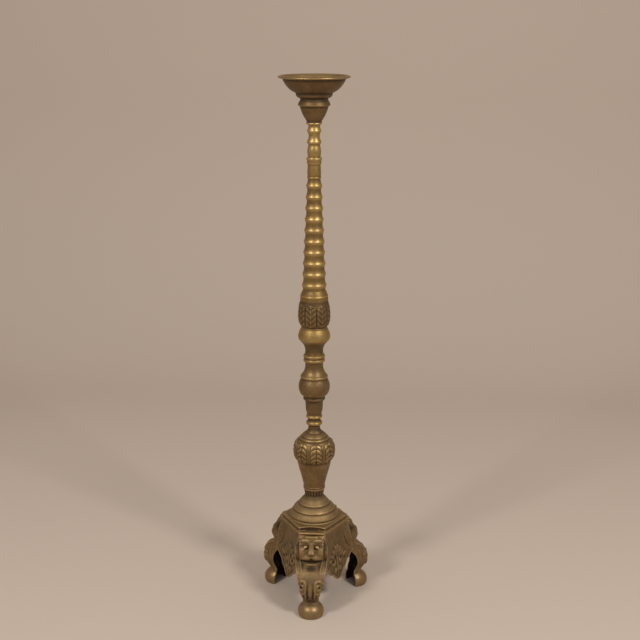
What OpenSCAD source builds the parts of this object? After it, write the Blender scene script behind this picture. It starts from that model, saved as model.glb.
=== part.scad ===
// Torchere candle stand: a cast tripod base with lion masks, a stem of hollow turned
// castings stacked on one long tie rod, and a wide drip pan. Millimetres, +Z up. The origin
// is on the stem's axis at floor level, and the front leg points along -Y.

/* [Tripod] */
// Height of the legs, from the floor to the underside of the cornice
leg_h = 166; // [150:1:185]
// Wall of the leg castings
leg_wall = 3.5; // [2.8:0.1:4.5]
// Distance from the axis to the mask's brow
brow_r = 88; // [85:0.5:91]
// Distance from the axis to the mask's cheeks
cheek_r = 92; // [89:0.5:95]
// Distance from the axis to the notch under the chin
chin_r = 84; // [82:0.5:87]
// Distance from the axis to the front of the knee
knee_r = 126; // [122:0.5:130]
// Distance from the axis to the front of the ankle
ankle_r = 109; // [106:0.5:112]
// Height of the front of the knee
knee_z = 56; // [53:0.5:59]
// Height of the ankle
ankle_z = 30; // [28:0.5:32]
// Distance from the axis to the middle of the foot ball
foot_ball_r = 99.5; // [98:0.5:103]
// Width of the leg at the mask
mask_w = 69; // [64:0.5:72]
// Width of the shield below the mask
shield_w = 56; // [52:0.5:59]
// Width of the ankle
ankle_w = 33; // [29:0.5:36]
// Diameter of the foot ball
foot_d = 55; // [50:0.5:59]
// How far the relief of the mask stands out
mask_relief = 7; // [4:0.5:9]

/* [Aprons] */
// Thickness of the three apron panels
apron_t = 3; // [2.4:0.1:4]
// Height of the crotch where the apron leaves the leg
crotch_z = 94; // [92:1:97]
// Height of the tip of the apron's pendant leaf
pendant_z = 47; // [40:1:60]
// Distance from the axis to the crotch, along the leg
crotch_r = 79; // [77:0.5:82]
// Distance from the axis to the pendant leaf
pendant_r = 64; // [61:0.5:68]
// Gap between an apron's edge and the leg
seam_gap = 0.3; // [0.2:0.05:0.6]
// Height of the apron's relief
apron_relief = 4; // [2:0.5:6]

/* [Cornice] */
// Distance from the axis to the cut corner over each leg
corner_r = 70; // [68:0.5:73]
// Width of the cut corner over each leg
corner_w = 52; // [48:0.5:56]
// How far the brow slab stands out in front of the cut corner
brow_out = 3.5; // [2:0.5:5]
// How far the slab stands out along the long sides
side_out = 1.5; // [1:0.5:2.5]
// Height of the slab, the cornice's lower part
slab_h = 6.5; // [5.5:0.5:7.5]
// Height of the cornice
cornice_h = 15; // [13:0.5:18]
// Thickness of the cornice's top plate
cornice_plate = 5; // [4:0.5:7]
// Wall of the cornice's skirt
skirt_wall = 5; // [4:0.5:7]
// How far the upper plate stands back from the cut corner
brow_ledge = 4; // [3:0.5:6]
// Depth of the arch cut in the upper plate over each brow
brow_arch = 6; // [4:0.5:7]
// Radius of the screw bosses under the cornice
boss_r = 6.5; // [6:0.25:8]

/* [Dome] */
// Radius of the dome at the cornice
dome_r = 54; // [51:0.5:56]
// Radius of the dome's top
dome_top_r = 21; // [19:0.5:24]
// Height of the dome
dome_h = 46; // [40:1:52]
// Wall of the dome and of the turned stem castings
wall = 3; // [2.5:0.1:3.6]

/* [Lower stem] */
// Height of the fluted collar
collar_h = 24.5; // [20:0.5:30]
// Radius of the fluted collar's rim
collar_r = 24.4; // [23:0.2:27]
// Number of flutes on the collar
flutes = 14; // [10:1:18]
// Height of the vase
vase_h = 132.5; // [120:0.5:150]
// Largest radius of the vase
vase_r = 44.7; // [40:0.5:50]
// Radius of the vase's foot
vase_foot_r = 22; // [19:0.5:25]
// Radius of the vase's neck
vase_neck_r = 12; // [11.5:0.25:14]
// Number of acanthus leaves round the vase
vase_leaves = 8; // [6:1:10]
// Height of the beaded neck
beads_h = 25.5; // [22:0.5:30]
// Radius of the neck's beads
bead_r = 17; // [15:0.5:20]
// Height of the lower cup
lower_cup_h = 40; // [36:0.5:48]
// Radius of the ring on top of the lower cup
cup_ring_r = 23; // [21:0.5:26]
// Height of the ball knop
ball_h = 40; // [36:0.5:46]
// Radius of the ball knop
ball_r = 32.4; // [30:0.2:36]
// Height of the flared cap
cap_h = 34; // [30:0.5:40]
// Radius of the flared cap's lip
cap_r = 28.4; // [27:0.2:31]
// Height of the double ring
reel_h = 18.5; // [16:0.5:24]
// Radius of the double ring
reel_r = 22.3; // [20:0.2:25]

/* [Upper stem] */
// Height of the mushroom knop
knop_h = 57.5; // [50:0.5:65]
// Radius of the mushroom knop
knop_r = 33; // [30:0.5:36]
// Height of the leaf sleeve
sleeve_h = 56; // [48:0.5:66]
// Radius of the leaf sleeve
sleeve_r = 33.6; // [31:0.2:37]
// Number of leaves round the sleeve
sleeve_leaves = 8; // [6:1:10]
// Height of the ringed shaft
shaft_h = 245; // [220:1:280]
// Radius of the ringed shaft's lowest ring
shaft_low_r = 26.5; // [24:0.25:29]
// Radius of the ringed shaft's highest ring
shaft_top_r = 15.5; // [14.5:0.25:17]
// Number of rings on the shaft
shaft_rings = 10; // [8:1:12]
// Depth of the coves between the shaft's rings
shaft_cove = 2.7; // [1.5:0.1:3]
// Height of the banded collar above the shaft
band_h = 48; // [42:0.5:56]
// Radius of the banded collar's raised band
band_r = 15.9; // [14.8:0.1:17.5]
// Height of the small baluster
baluster_h = 64; // [57:0.5:72]
// Radius of the small baluster's rings
baluster_r = 14.9; // [14:0.1:16.5]

/* [Socket and pan] */
// Height of the socket cup under the pan
socket_h = 47.5; // [42:0.5:54]
// Radius of the socket cup's widest ring
socket_r = 31.8; // [29.5:0.2:34]
// Radius of the neck between the socket cup and the pan
socket_neck_r = 27.7; // [25:0.2:29]
// Radius of the pan's foot ring
pan_foot_r = 35; // [34:0.5:38]
// Height of the pan's foot ring
pan_foot_h = 7.4; // [6.4:0.2:8]
// Radius of the pan's rim
pan_r = 71; // [66:0.5:80]
// Height of the pan
pan_h = 43; // [38:0.5:48]
// Wall of the pan
pan_wall = 2.6; // [2:0.1:3.4]
// Radius of the pan's flat floor
pan_floor_r = 30; // [27:0.5:32]

/* [Tie rod and fasteners] */
// Radius of the tie rod
rod_r = 5; // [4:0.1:5.4]
// Radial clearance of the tie rod in the castings
rod_clear = 0.4; // [0.2:0.05:0.8]
// Radius of the spigot on top of each casting
spigot_r = 8.5; // [8:0.1:9]
// Height of the spigots
spigot_h = 5; // [3.5:0.25:6]
// Clearance round and over a spigot
spigot_clear = 0.15; // [0.1:0.05:0.3]
// Width across the flats of the rod nut
nut_af = 17; // [15:0.5:19]
// Height of the rod nut
nut_h = 8; // [6:0.5:10]
// Thickness of the washers
washer_t = 2; // [1.5:0.25:3]
// Radius of the washers
washer_r = 12; // [11:0.5:13]
// How far the rod stands out below its nut
rod_tail = 6; // [3:0.5:10]
// Height of the domed nut in the pan
pan_nut_h = 13; // [11:0.5:16]
// Half length of the bridge under the cornice
bridge_half = 34; // [30:0.5:35]
// Width of the bridge
bridge_w = 24; // [18:0.5:28]
// Radius of the hole in the cornice's plate
well_r = 22; // [18:0.5:24]
// Radius of the base screws
screw_r = 2.5; // [2:0.1:3]
// Radial clearance of the base screws
screw_clear = 0.3; // [0.15:0.05:0.5]
// Height of the screws' heads
screw_head_h = 3.5; // [2.5:0.25:5]
// How far the screws reach into the cornice's bosses
screw_bite = 8; // [6:0.5:9]
// Thickness of the fixing tabs on legs and aprons
tab_t = 5; // [4:0.5:6.5]
// Distance from the axis to the leg screws
leg_screw_r = 50; // [48:0.5:52]
// Distance from the axis to the line of the apron screws
apron_screw_r = 43; // [42:0.5:44]
// Half the spacing of an apron's two screws
apron_screw_y = 22; // [20:0.5:24]

/* [Hidden] */

// Directions of the legs and of the aprons between them
leg_turns = [-90, 30, 150];
apron_turns = [-30, 90, 210];

// Heights of the seats, from the floor up
cornice_z = leg_h;
dome_z = cornice_z + cornice_h;
collar_z = dome_z + dome_h;
vase_z = collar_z + collar_h;
beads_z = vase_z + vase_h;
lower_cup_z = beads_z + beads_h;
ball_z = lower_cup_z + lower_cup_h;
cap_z = ball_z + ball_h;
reel_z = cap_z + cap_h;
knop_z = reel_z + reel_h;
sleeve_z = knop_z + knop_h;
shaft_z = sleeve_z + sleeve_h;
band_z = shaft_z + shaft_h;
baluster_z = band_z + band_h;
socket_z = baluster_z + baluster_h;
pan_z = socket_z + socket_h;
plate_z = dome_z - cornice_plate;
bore_r = rod_r + rod_clear;
recess_r = spigot_r + spigot_clear;
recess_h = spigot_h + spigot_clear;
boss_rise = 3;
leaf_groove_r = 2.4;
leaf_groove_d = 1.3;
nut_crown = 4;
leg_tab_w = 20;
apron_tab_w = 12;
apron_seat = 3;
pan_floor_z = 10.5;
pan_boss_z = pan_floor_z + boss_rise;
pan_boss_r = washer_r + 2;
round_steps = 96;
brass = "#8C6F3C";
dark_brass = "#5C4A2C";
tan_brass = "#84693F";
steel = "#6F7072";

// ---- Curves ----

// Catmull-Rom value between b and c
function blend(a, b, c, d, t) =
    0.5 * (2 * b + (c - a) * t + (2 * a - 5 * b + 4 * c - d) * t * t
    + (3 * b - a - 3 * c + d) * t * t * t);
function knot(k, i) = k[max(0, min(len(k) - 1, i))];
// Smooth run through the rows of k, with n steps between two rows
function smooth(k, n = 4) = [
    for (i = [0:len(k) - 2], j = [0:n - 1])
        blend(knot(k, i - 1), k[i], k[i + 1], knot(k, i + 2), j / n),
    k[len(k) - 1]
];
// Outline given as [share of the height, radius], in millimetres from the seat up
function on_height(k, h) = [for (p = k) [p[1], p[0] * h]];
// Half-round bead of height h standing out from radius r to radius top
function bead(z, h, r, top, n = 6) =
    [for (i = [0:n]) [r + (top - r) * sin(180 * i / n), z + h * (1 - cos(180 * i / n)) / 2]];
// Least outside radius within reach of height z
function waist(outer, z, reach) =
    let (table = [for (p = outer) [p[1], p[0]]])
    min(concat(
        [for (i = [-2:2]) lookup(z + reach * i / 2, table)],
        [for (p = outer) if (abs(p[1] - z) <= reach) p[0]]
    ));

// ---- Turned castings of the stem ----

// Closed outline of a hollow casting: outside, spigot on top, core inside, recess below
function casting(outer, h, core_reach = 4, core_steps = 14) =
    let (low = recess_h + wall, high = h - wall)
    concat(
        outer,
        [[spigot_r, h], [spigot_r, h + spigot_h], [bore_r, h + spigot_h], [bore_r, high]],
        [for (i = [core_steps:-1:0])
            let (z = low + (high - low) * i / core_steps)
            [max(bore_r, waist(outer, z, max(core_reach, wall + 1)) - wall), z]],
        [[bore_r, low], [bore_r, recess_h], [recess_r, recess_h], [recess_r, 0]]
    );
// Closed outline of a casting that is solid round the rod
function solid_casting(outer, h) = concat(
    outer,
    [[spigot_r, h], [spigot_r, h + spigot_h], [bore_r, h + spigot_h]],
    [[bore_r, recess_h], [recess_r, recess_h], [recess_r, 0]]
);
module turned(z, outline) {
    translate([0, 0, z]) rotate_extrude($fn = round_steps) polygon(outline);
}

module base_dome() {
    outer = on_height(concat(
        [[0, dome_r], [0.02, dome_r], [0.045, dome_r - 1.6], [0.075, dome_r - 3.6]],
        [[0.095, dome_r - 2.6], [0.19, dome_r - 3.6], [0.30, dome_r - 6.5], [0.38, dome_r - 10.2]],
        [[0.405, dome_r - 9.6], [0.49, dome_r - 12.4], [0.575, dome_r - 16.5], [0.635, dome_r - 21.4]],
        [[0.665, dome_r - 20.8], [0.745, dome_top_r + 9.5], [0.85, dome_top_r + 5.8]],
        [[0.925, dome_top_r + 2.6], [0.955, dome_top_r + 1], [1, dome_top_r]]
    ), dome_h);
    // open underneath, so its core runs down to the cornice
    color(tan_brass) turned(dome_z, concat(
        outer,
        [[spigot_r, dome_h], [spigot_r, dome_h + spigot_h], [bore_r, dome_h + spigot_h]],
        [[bore_r, dome_h - wall]],
        [for (i = [12:-1:0])
            let (z = (dome_h - wall) * i / 12) [waist(outer, z, 4) - wall, z]]
    ));
}

module fluted_collar() {
    outer = on_height([
        [0, dome_top_r], [0.08, dome_top_r + 0.6], [0.16, dome_top_r + 0.7], [0.20, dome_top_r],
        [0.55, collar_r - 2.2], [0.66, collar_r - 0.9], [0.74, collar_r], [0.82, collar_r - 0.3],
        [0.9, vase_foot_r], [1, vase_foot_r]
    ], collar_h);
    color(brass) difference() {
        turned(collar_z, casting(outer, collar_h));
        for (i = [0:flutes - 1])
            rotate(i * 360 / flutes) translate([collar_r + 0.6, 0, collar_z + 0.22 * collar_h])
                cylinder(h = 0.5 * collar_h, r = PI * collar_r / flutes * 0.52, $fn = 24);
    }
}

// Upright grooves between n leaves round radius r
module leaf_grooves(n, r, z, h) {
    for (i = [0:n - 1])
        rotate((i + 0.5) * 360 / n) translate([r + leaf_groove_r - leaf_groove_d, 0, z])
            cylinder(h = h, r = leaf_groove_r, $fn = 24);
}

module vase() {
    outer = on_height(concat(
        smooth([[0, vase_foot_r], [0.04, vase_foot_r + 1.4], [0.16, vase_foot_r + 5.3],
            [0.26, vase_foot_r + 9.1], [0.36, vase_foot_r + 12.9]], 2),
        smooth([[0.375, vase_r - 7.2], [0.40, vase_r - 4.2], [0.46, vase_r - 2], [0.57, vase_r],
            [0.66, vase_r - 1.4], [0.72, vase_r - 5.2]], 3),
        smooth([[0.735, vase_r - 6.4], [0.76, vase_r - 9.8], [0.785, vase_r - 13.8]], 2),
        smooth([[0.80, vase_r - 13.2], [0.835, vase_r - 18.5], [0.86, vase_r - 23.4]], 2),
        smooth([[0.875, vase_r - 23], [0.90, vase_neck_r + 6.4], [0.93, vase_neck_r + 2],
            [0.97, vase_neck_r + 0.2], [1, vase_neck_r]], 2)
    ), vase_h);
    color(brass) difference() {
        turned(vase_z, casting(outer, vase_h, 5, 24));
        leaf_grooves(vase_leaves, vase_r, vase_z + 0.42 * vase_h, 0.28 * vase_h);
    }
}

module neck_beads() {
    outer = concat(
        [[vase_neck_r, 0]],
        smooth(on_height([[0.04, vase_neck_r + 0.2], [0.14, bead_r - 1.4], [0.26, bead_r],
            [0.40, bead_r - 1.6], [0.52, vase_neck_r + 1.1], [0.66, vase_neck_r + 0.8],
            [0.74, bead_r - 2]], beads_h), 3),
        bead(0.76 * beads_h, 0.2 * beads_h, bead_r - 1.6, bead_r),
        [[bead_r - 2, beads_h]]
    );
    color(brass) turned(beads_z, solid_casting(outer, beads_h));
}

module lower_cup() {
    outer = on_height(concat(
        smooth([[0, bead_r - 2], [0.08, bead_r - 1.7], [0.28, bead_r + 0.6],
            [0.45, bead_r + 1], [0.62, bead_r + 1.3]], 2),
        [[0.74, bead_r + 1.8], [0.81, bead_r + 2.8], [0.83, cup_ring_r - 1.4]],
        smooth([[0.85, cup_ring_r - 0.3], [0.89, cup_ring_r], [0.95, cup_ring_r - 0.5]], 2),
        [[0.98, cup_ring_r - 1.6], [1, cup_ring_r - 1.6]]
    ), lower_cup_h);
    color(brass) turned(lower_cup_z, casting(outer, lower_cup_h));
}

module ball_knop() {
    outer = on_height(smooth([
        [0, cup_ring_r - 1.6], [0.06, ball_r - 8], [0.18, ball_r - 4], [0.32, ball_r - 1.4],
        [0.46, ball_r - 0.2], [0.58, ball_r], [0.77, ball_r - 1.2], [0.92, ball_r - 4.2],
        [1, ball_r - 5.6]
    ], 3), ball_h);
    color(brass) turned(ball_z, casting(outer, ball_h));
}

module flared_cap() {
    outer = on_height(concat(
        [[0, cap_r - 1.4], [0.04, cap_r - 0.4], [0.10, cap_r], [0.15, cap_r - 1]],
        smooth([[0.20, cap_r - 2.6], [0.30, cap_r - 4.8], [0.48, cap_r - 7.8],
            [0.68, cap_r - 9.6], [0.86, cap_r - 10]], 3),
        [[1, cap_r - 9.6]]
    ), cap_h);
    color(brass) turned(cap_z, casting(outer, cap_h));
}

module ring_reel() {
    neck = reel_r - 3.2;
    outer = concat(
        [[neck, 0]],
        bead(0.04 * reel_h, 0.4 * reel_h, neck + 1.4, reel_r),
        bead(0.5 * reel_h, 0.42 * reel_h, neck + 1.4, reel_r),
        [[neck, 0.96 * reel_h], [neck, reel_h]]
    );
    color(brass) turned(reel_z, casting(outer, reel_h, 9));
}

module mushroom_knop() {
    outer = on_height(concat(
        smooth([[0, reel_r - 3.2], [0.10, reel_r - 3.9], [0.22, reel_r - 2.4],
            [0.38, reel_r + 1.8], [0.48, knop_r - 3.4]], 3),
        smooth([[0.50, knop_r - 1.6], [0.57, knop_r], [0.70, knop_r - 0.6], [0.82, knop_r - 3],
            [0.93, knop_r - 6]], 3),
        [[1, knop_r - 6.4]]
    ), knop_h);
    color(brass) turned(knop_z, casting(outer, knop_h));
}

module leaf_sleeve() {
    outer = on_height(concat(
        [[0, knop_r - 6.4], [0.03, sleeve_r - 5]],
        smooth([[0.07, sleeve_r - 3.6], [0.18, sleeve_r - 1], [0.32, sleeve_r],
            [0.60, sleeve_r - 0.8], [0.82, sleeve_r - 1.9], [0.90, sleeve_r - 2.6]], 3),
        [[0.93, sleeve_r - 4], [1, sleeve_r - 5]]
    ), sleeve_h);
    color(brass) difference() {
        turned(sleeve_z, casting(outer, sleeve_h));
        leaf_grooves(sleeve_leaves, sleeve_r, sleeve_z + 0.2 * sleeve_h, 0.68 * sleeve_h);
    }
}

// Radius of the shaft's rings at a share u of the shaft, measured to the crests
function crest(u) = shaft_low_r + (shaft_top_r - shaft_low_r) * u;
module ringed_shaft() {
    shoulder = 0.075 * shaft_h;
    pitch = (shaft_h - shoulder) / shaft_rings;
    rings = [
        for (i = [0:shaft_rings - 1], j = [0:9])
            let (a = j / 10, z = shoulder + (i + a) * pitch)
            [crest(z / shaft_h) - shaft_cove * (1 - ((1 - cos(360 * a)) / 2) ^ 1.15), z]
    ];
    outer = concat(
        smooth([[sleeve_r - 5, 0], [sleeve_r - 5.6, 0.3 * shoulder],
            [shaft_low_r - 1.2, 0.7 * shoulder], [crest(0) - shaft_cove, shoulder]], 2),
        [for (p = rings) if (p[1] > shoulder + 0.1) p],
        [[crest(1) - shaft_cove, shaft_h]]
    );
    color(brass) turned(shaft_z, casting(outer, shaft_h, 14, 16));
}

module band_collar() {
    low = crest(1) - shaft_cove;
    outer = concat(
        on_height([[0, low], [0.06, low], [0.075, band_r - 2]], band_h),
        smooth(on_height([[0.10, band_r - 1.3], [0.22, band_r - 1.2], [0.42, band_r - 1.8],
            [0.60, band_r - 2.4], [0.66, band_r - 2.9]], band_h), 3),
        smooth(on_height([[0.67, band_r - 1], [0.71, band_r - 0.1], [0.80, band_r],
            [0.84, band_r - 0.9]], band_h), 3),
        on_height([[0.85, band_r - 2.7], [1, band_r - 2.6]], band_h)
    );
    color(brass) turned(band_z, solid_casting(outer, band_h));
}

module small_baluster() {
    outer = on_height(concat(
        [[0, band_r - 2.6]],
        smooth([[0.02, baluster_r - 1.2], [0.08, baluster_r - 0.7], [0.15, baluster_r - 1.1],
            [0.22, baluster_r - 2.4], [0.28, baluster_r - 2.9], [0.36, baluster_r - 1.5],
            [0.412, baluster_r], [0.455, baluster_r - 1.3], [0.53, baluster_r - 3.4],
            [0.60, baluster_r - 2.4], [0.685, baluster_r], [0.73, baluster_r - 1.3],
            [0.81, baluster_r - 2.9], [0.88, baluster_r - 2.3]], 3),
        smooth([[0.915, baluster_r - 0.6], [0.945, baluster_r + 1.4], [0.97, baluster_r + 1],
            [0.98, baluster_r - 0.6]], 2),
        [[1, baluster_r - 0.6]]
    ), baluster_h);
    color(brass) turned(baluster_z, solid_casting(outer, baluster_h));
}

module socket_cup() {
    outer = on_height(concat(
        [[0, baluster_r + 0.4]],
        smooth([[0.03, baluster_r + 1.6], [0.14, baluster_r + 5.4], [0.31, socket_r - 7.9],
            [0.44, socket_r - 5.4], [0.56, socket_r - 3.9]], 3),
        [[0.60, socket_r - 2.9]],
        smooth([[0.64, socket_r - 0.9], [0.72, socket_r], [0.79, socket_r - 0.9]], 2),
        [[0.82, socket_r - 2.4], [0.86, socket_neck_r + 0.8], [0.90, socket_neck_r], [1, socket_neck_r]]
    ), socket_h);
    color(dark_brass) turned(socket_z, casting(outer, socket_h, 5, 18));
}

module drip_pan() {
    rim_r = 3;
    relief_z = pan_floor_z - pan_wall - 1;
    bowl = smooth([
        [pan_foot_r + 1.4, pan_foot_h + 1], [pan_foot_r + 8.4, 0.32 * pan_h],
        [0.5 * (pan_foot_r + pan_r) + 0.6, 0.57 * pan_h], [pan_r - 6, 0.86 * pan_h]
    ], 4);
    // the inside of the bowl lies one wall above its outside
    inside = [
        for (i = [len(bowl) - 1:-1:2])
            [bowl[i][0] - 0.62 * pan_wall, bowl[i][1] + 0.8 * pan_wall]
    ];
    color(dark_brass) turned(pan_z, concat(
        [[pan_foot_r - 3, 0], [pan_foot_r - 1.2, 1.6], [pan_foot_r - 0.2, 3.4]],
        [[pan_foot_r, pan_foot_h - 2], [pan_foot_r + 0.1, pan_foot_h]],
        bowl,
        // rolled rim
        [[pan_r - 0.8, pan_h - rim_r - 1.2], [pan_r, pan_h - rim_r - 0.4]],
        [[pan_r - 0.4, pan_h - rim_r + 0.8]],
        [for (a = [20:28:160])
            [pan_r - rim_r - 1.4 + rim_r * cos(a), pan_h - rim_r + rim_r * sin(a)]],
        inside,
        [[pan_floor_r + 2, pan_floor_z + 0.5], [pan_floor_r, pan_floor_z]],
        [[pan_boss_r, pan_floor_z], [pan_boss_r, pan_boss_z], [bore_r, pan_boss_z]],
        [[bore_r, recess_h], [recess_r, recess_h], [recess_r, 0]],
        // relief under the floor, between the hub and the foot ring
        [[pan_boss_r, 0], [pan_boss_r, relief_z]],
        [[pan_foot_r - 6, relief_z], [pan_foot_r - 6, 0]]
    ));
}

// ---- Tie rod ----

module tie_rod() {
    top = pan_z + pan_boss_z + washer_t + pan_nut_h - nut_crown;
    low = plate_z - cornice_plate - washer_t - nut_h - rod_tail;
    color(steel) translate([0, 0, low]) cylinder(h = top - low, r = rod_r, $fn = 48);
}
module washer(z) {
    translate([0, 0, z]) difference() {
        cylinder(h = washer_t, r = washer_r, $fn = 64);
        translate([0, 0, -1]) cylinder(h = washer_t + 2, r = bore_r, $fn = 48);
    }
}
module rod_washer() {
    color(steel) washer(plate_z - cornice_plate - washer_t);
}
module rod_nut() {
    color(steel) translate([0, 0, plate_z - cornice_plate - washer_t - nut_h]) difference() {
        cylinder(h = nut_h, r = nut_af / 2 / cos(30), $fn = 6);
        translate([0, 0, -1]) cylinder(h = nut_h + 2, r = rod_r, $fn = 48);
    }
}
module pan_washer() {
    color(dark_brass) washer(pan_z + pan_boss_z);
}
// Domed round nut, closed on top, over the rod's upper end
module pan_nut() {
    r = washer_r - 2;
    color(dark_brass) turned(pan_z + pan_boss_z + washer_t, concat(
        [[r, 0], [r, 0.3 * pan_nut_h]],
        [for (a = [0:15:90]) [max(0, r * cos(a)), (0.3 + 0.7 * sin(a)) * pan_nut_h]],
        [[0, pan_nut_h - nut_crown], [rod_r, pan_nut_h - nut_crown], [rod_r, 0]]
    ));
}
// Flat bar across the well in the cornice's plate, which takes the pull of the rod
module base_bridge() {
    color(steel) translate([0, 0, plate_z - cornice_plate]) difference() {
        translate([-bridge_half, -bridge_w / 2, 0]) cube([2 * bridge_half, bridge_w, cornice_plate]);
        translate([0, 0, -1]) cylinder(h = cornice_plate + 2, r = bore_r, $fn = 48);
    }
}

// ---- Cornice ----

// Distance from the axis to the long sides
side_r = corner_r * cos(60) + corner_w / 2 * sin(60);
// Outline with the long sides and the cut corners moved in by their own amounts
function cornice_outline(side_in, corner_in) = [
    for (a = leg_turns, s = [-1, 1])
        let (x = corner_r - corner_in, y = s * (side_r - side_in - x * cos(60)) / sin(60))
        [x * cos(a) - y * sin(a), x * sin(a) + y * cos(a)]
];
// One step of the moulding
module moulding(z, h, side_in, corner_in) {
    translate([0, 0, cornice_z + z]) linear_extrude(h) polygon(cornice_outline(side_in, corner_in));
}
module at_leg_screws() {
    for (a = leg_turns) rotate(a) translate([leg_screw_r, 0, 0]) children();
}
module at_apron_screws() {
    for (a = apron_turns, s = [-1, 1])
        rotate(a) translate([apron_screw_r, s * apron_screw_y, 0]) children();
}
module base_cornice() {
    fillet = 2.5;
    edge_h = 1.5;
    boss_h = cornice_h - cornice_plate;
    skirt_in = brow_ledge + brow_arch + skirt_wall;
    arch_half = corner_w / 2 - 2;
    arch_r = (arch_half ^ 2 + brow_arch ^ 2) / (2 * brow_arch);
    color(tan_brass) difference() {
        union() {
            difference() {
                union() {
                    moulding(0, 0.3 * slab_h, fillet, 0);
                    moulding(0.3 * slab_h, 0.7 * slab_h, -side_out, -brow_out);
                    moulding(slab_h, cornice_h - slab_h - edge_h, 0.5, brow_ledge);
                    moulding(cornice_h - edge_h, edge_h, 1.5, brow_ledge + 1);
                }
                moulding(-1, boss_h + 1, fillet + skirt_wall, skirt_in);
            }
            translate([0, 0, cornice_z]) {
                at_leg_screws() cylinder(h = boss_h + 1, r = boss_r, $fn = 48);
                at_apron_screws() cylinder(h = boss_h + 1, r = boss_r, $fn = 48);
            }
        }
        translate([0, 0, cornice_z - 1]) {
            cylinder(h = cornice_h + 2, r = well_r, $fn = 72);
            at_leg_screws() cylinder(h = screw_bite + 1.5, r = screw_r, $fn = 32);
            at_apron_screws() cylinder(h = screw_bite + 1.5, r = screw_r, $fn = 32);
        }
        // arch cut in the upper plate over each brow
        for (a = leg_turns) rotate(a)
            translate([corner_r - brow_ledge - brow_arch + arch_r, 0, cornice_z + slab_h])
                cylinder(h = cornice_h, r = arch_r, $fn = 180);
    }
}

// ---- Legs ----

// Line up the leg where the apron's edge meets it: distance from the axis at height z
seam_top_r = corner_r - 4;
function seam_r(z) = seam_top_r + (crotch_r - seam_top_r) * (leg_h - z) / (leg_h - crotch_z);
function seam_back(z) = seam_r(z) - 6.5;
mw = mask_w / 2;
sw = shield_w / 2;
fr = foot_d / 2;
ball_mid_z = 10;
foot_back_r = foot_ball_r - 10;
// A row across the leg: height, ridge, half width, start of the side wall, back edge
function back_row(z, ridge, half, side, back) = [z, ridge, half, side, back];
// The same above the crotch, where the back edge follows the apron's seam
function seam_row(z, ridge, half, side) = back_row(z, ridge, half, side, seam_back(z));
// Rows down the leg, from the cornice to the floor
leg_rows = [
    seam_row(leg_h, corner_r, corner_w / 2, corner_r - 3.6),
    seam_row(leg_h - 4, corner_r + 6, corner_w / 2 + 2, corner_r - 2),
    seam_row(leg_h - 12, brow_r - 5, mw - 2.5, corner_r + 3),
    seam_row(leg_h - 22, brow_r, mw - 0.2, brow_r - 6),
    seam_row(leg_h - 30, cheek_r, mw, cheek_r - 4),
    seam_row(leg_h - 36, cheek_r, mw - 0.2, cheek_r - 5),
    seam_row(leg_h - 42, cheek_r - 2.5, mw - 0.7, cheek_r - 9),
    seam_row(leg_h - 48, chin_r + 1, mw - 1.3, chin_r - 5.5),
    seam_row(leg_h - 53, chin_r, mw - 1.5, chin_r - 6),
    seam_row(crotch_z + 15, chin_r + 9, mw - 1.7, chin_r),
    seam_row(crotch_z + 11, knee_r - 24.5, mw - 2.1, knee_r - 33),
    seam_row(crotch_z + 4, knee_r - 16.5, sw + 2.4, knee_r - 25),
    seam_row(crotch_z - 2, knee_r - 12, sw + 0.7, knee_r - 22),
    back_row(knee_z + 28, knee_r - 7.5, sw - 1.4, knee_r - 19, foot_back_r - 7.5),
    back_row(knee_z + 20, knee_r - 4.2, sw - 3.5, knee_r - 18, foot_back_r - 0.5),
    back_row(knee_z + 10, knee_r - 1, sw - 5.2, knee_r - 16, foot_back_r + 4.5),
    back_row(knee_z, knee_r, sw - 6.8, knee_r - 16, foot_back_r + 6.5),
    back_row(knee_z - 7, knee_r - 1.5, sw - 8.2, knee_r - 18, foot_back_r + 6.5),
    back_row(knee_z - 13, knee_r - 8, ankle_w / 2 + 1.3, knee_r - 22, foot_back_r + 4.5),
    back_row(ankle_z + 6, ankle_r + 3.5, ankle_w / 2 + 0.3, foot_ball_r + 1, foot_back_r),
    back_row(ankle_z, ankle_r, ankle_w / 2, foot_ball_r, foot_back_r),
    back_row(ankle_z - 5, ankle_r + 6, fr - 6.5, foot_ball_r, foot_back_r),
    // the foot ball: shoulder, widest line, and the ring that stands on the floor
    back_row(ball_mid_z + 9, foot_ball_r + fr - 4, fr - 2.8, foot_ball_r, foot_back_r),
    back_row(ball_mid_z, foot_ball_r + fr, fr, foot_ball_r, foot_back_r),
    back_row(0.4 * ball_mid_z, foot_ball_r + fr - 1.6, fr - 1.6, foot_ball_r, foot_back_r),
    back_row(0, foot_ball_r + fr - 6, fr - 6, foot_ball_r, foot_back_r)
];
// Half width of the leg at height z, as its side wall has it
leg_half_table = [for (r = leg_rows) [r[0], r[2]]];
function leg_half(z) = lookup(z, leg_half_table);

// One swelling of the mask: place across, height above the floor, spread, height of the swelling
function swell(y, z, at_y, at_z, wide, tall) =
    exp(-((y - at_y) / wide) ^ 2 - ((z - at_z) / tall) ^ 2);
function pair(y, z, at_y, at_z, wide, tall) =
    swell(y, z, at_y, at_z, wide, tall) + swell(y, z, -at_y, at_z, wide, tall);
// The lion mask: nose, brows, sunken eyes, whisker pads, cheeks, lower lip and open mouth
function mask(y, z) =
    let (top = leg_h)
    mask_relief * (
        0.9 * swell(y, z, 0, top - 30, 5, 8) + 0.45 * pair(y, z, 10, top - 12, 7, 6)
        - 0.2 * pair(y, z, 10, top - 22, 5, 4) + 0.55 * pair(y, z, 8, top - 37, 7, 6)
        + 0.3 * pair(y, z, 22, top - 28, 6, 12) + 0.45 * swell(y, z, 0, top - 53, 8, 5)
    );
front_steps = 16;
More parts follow.
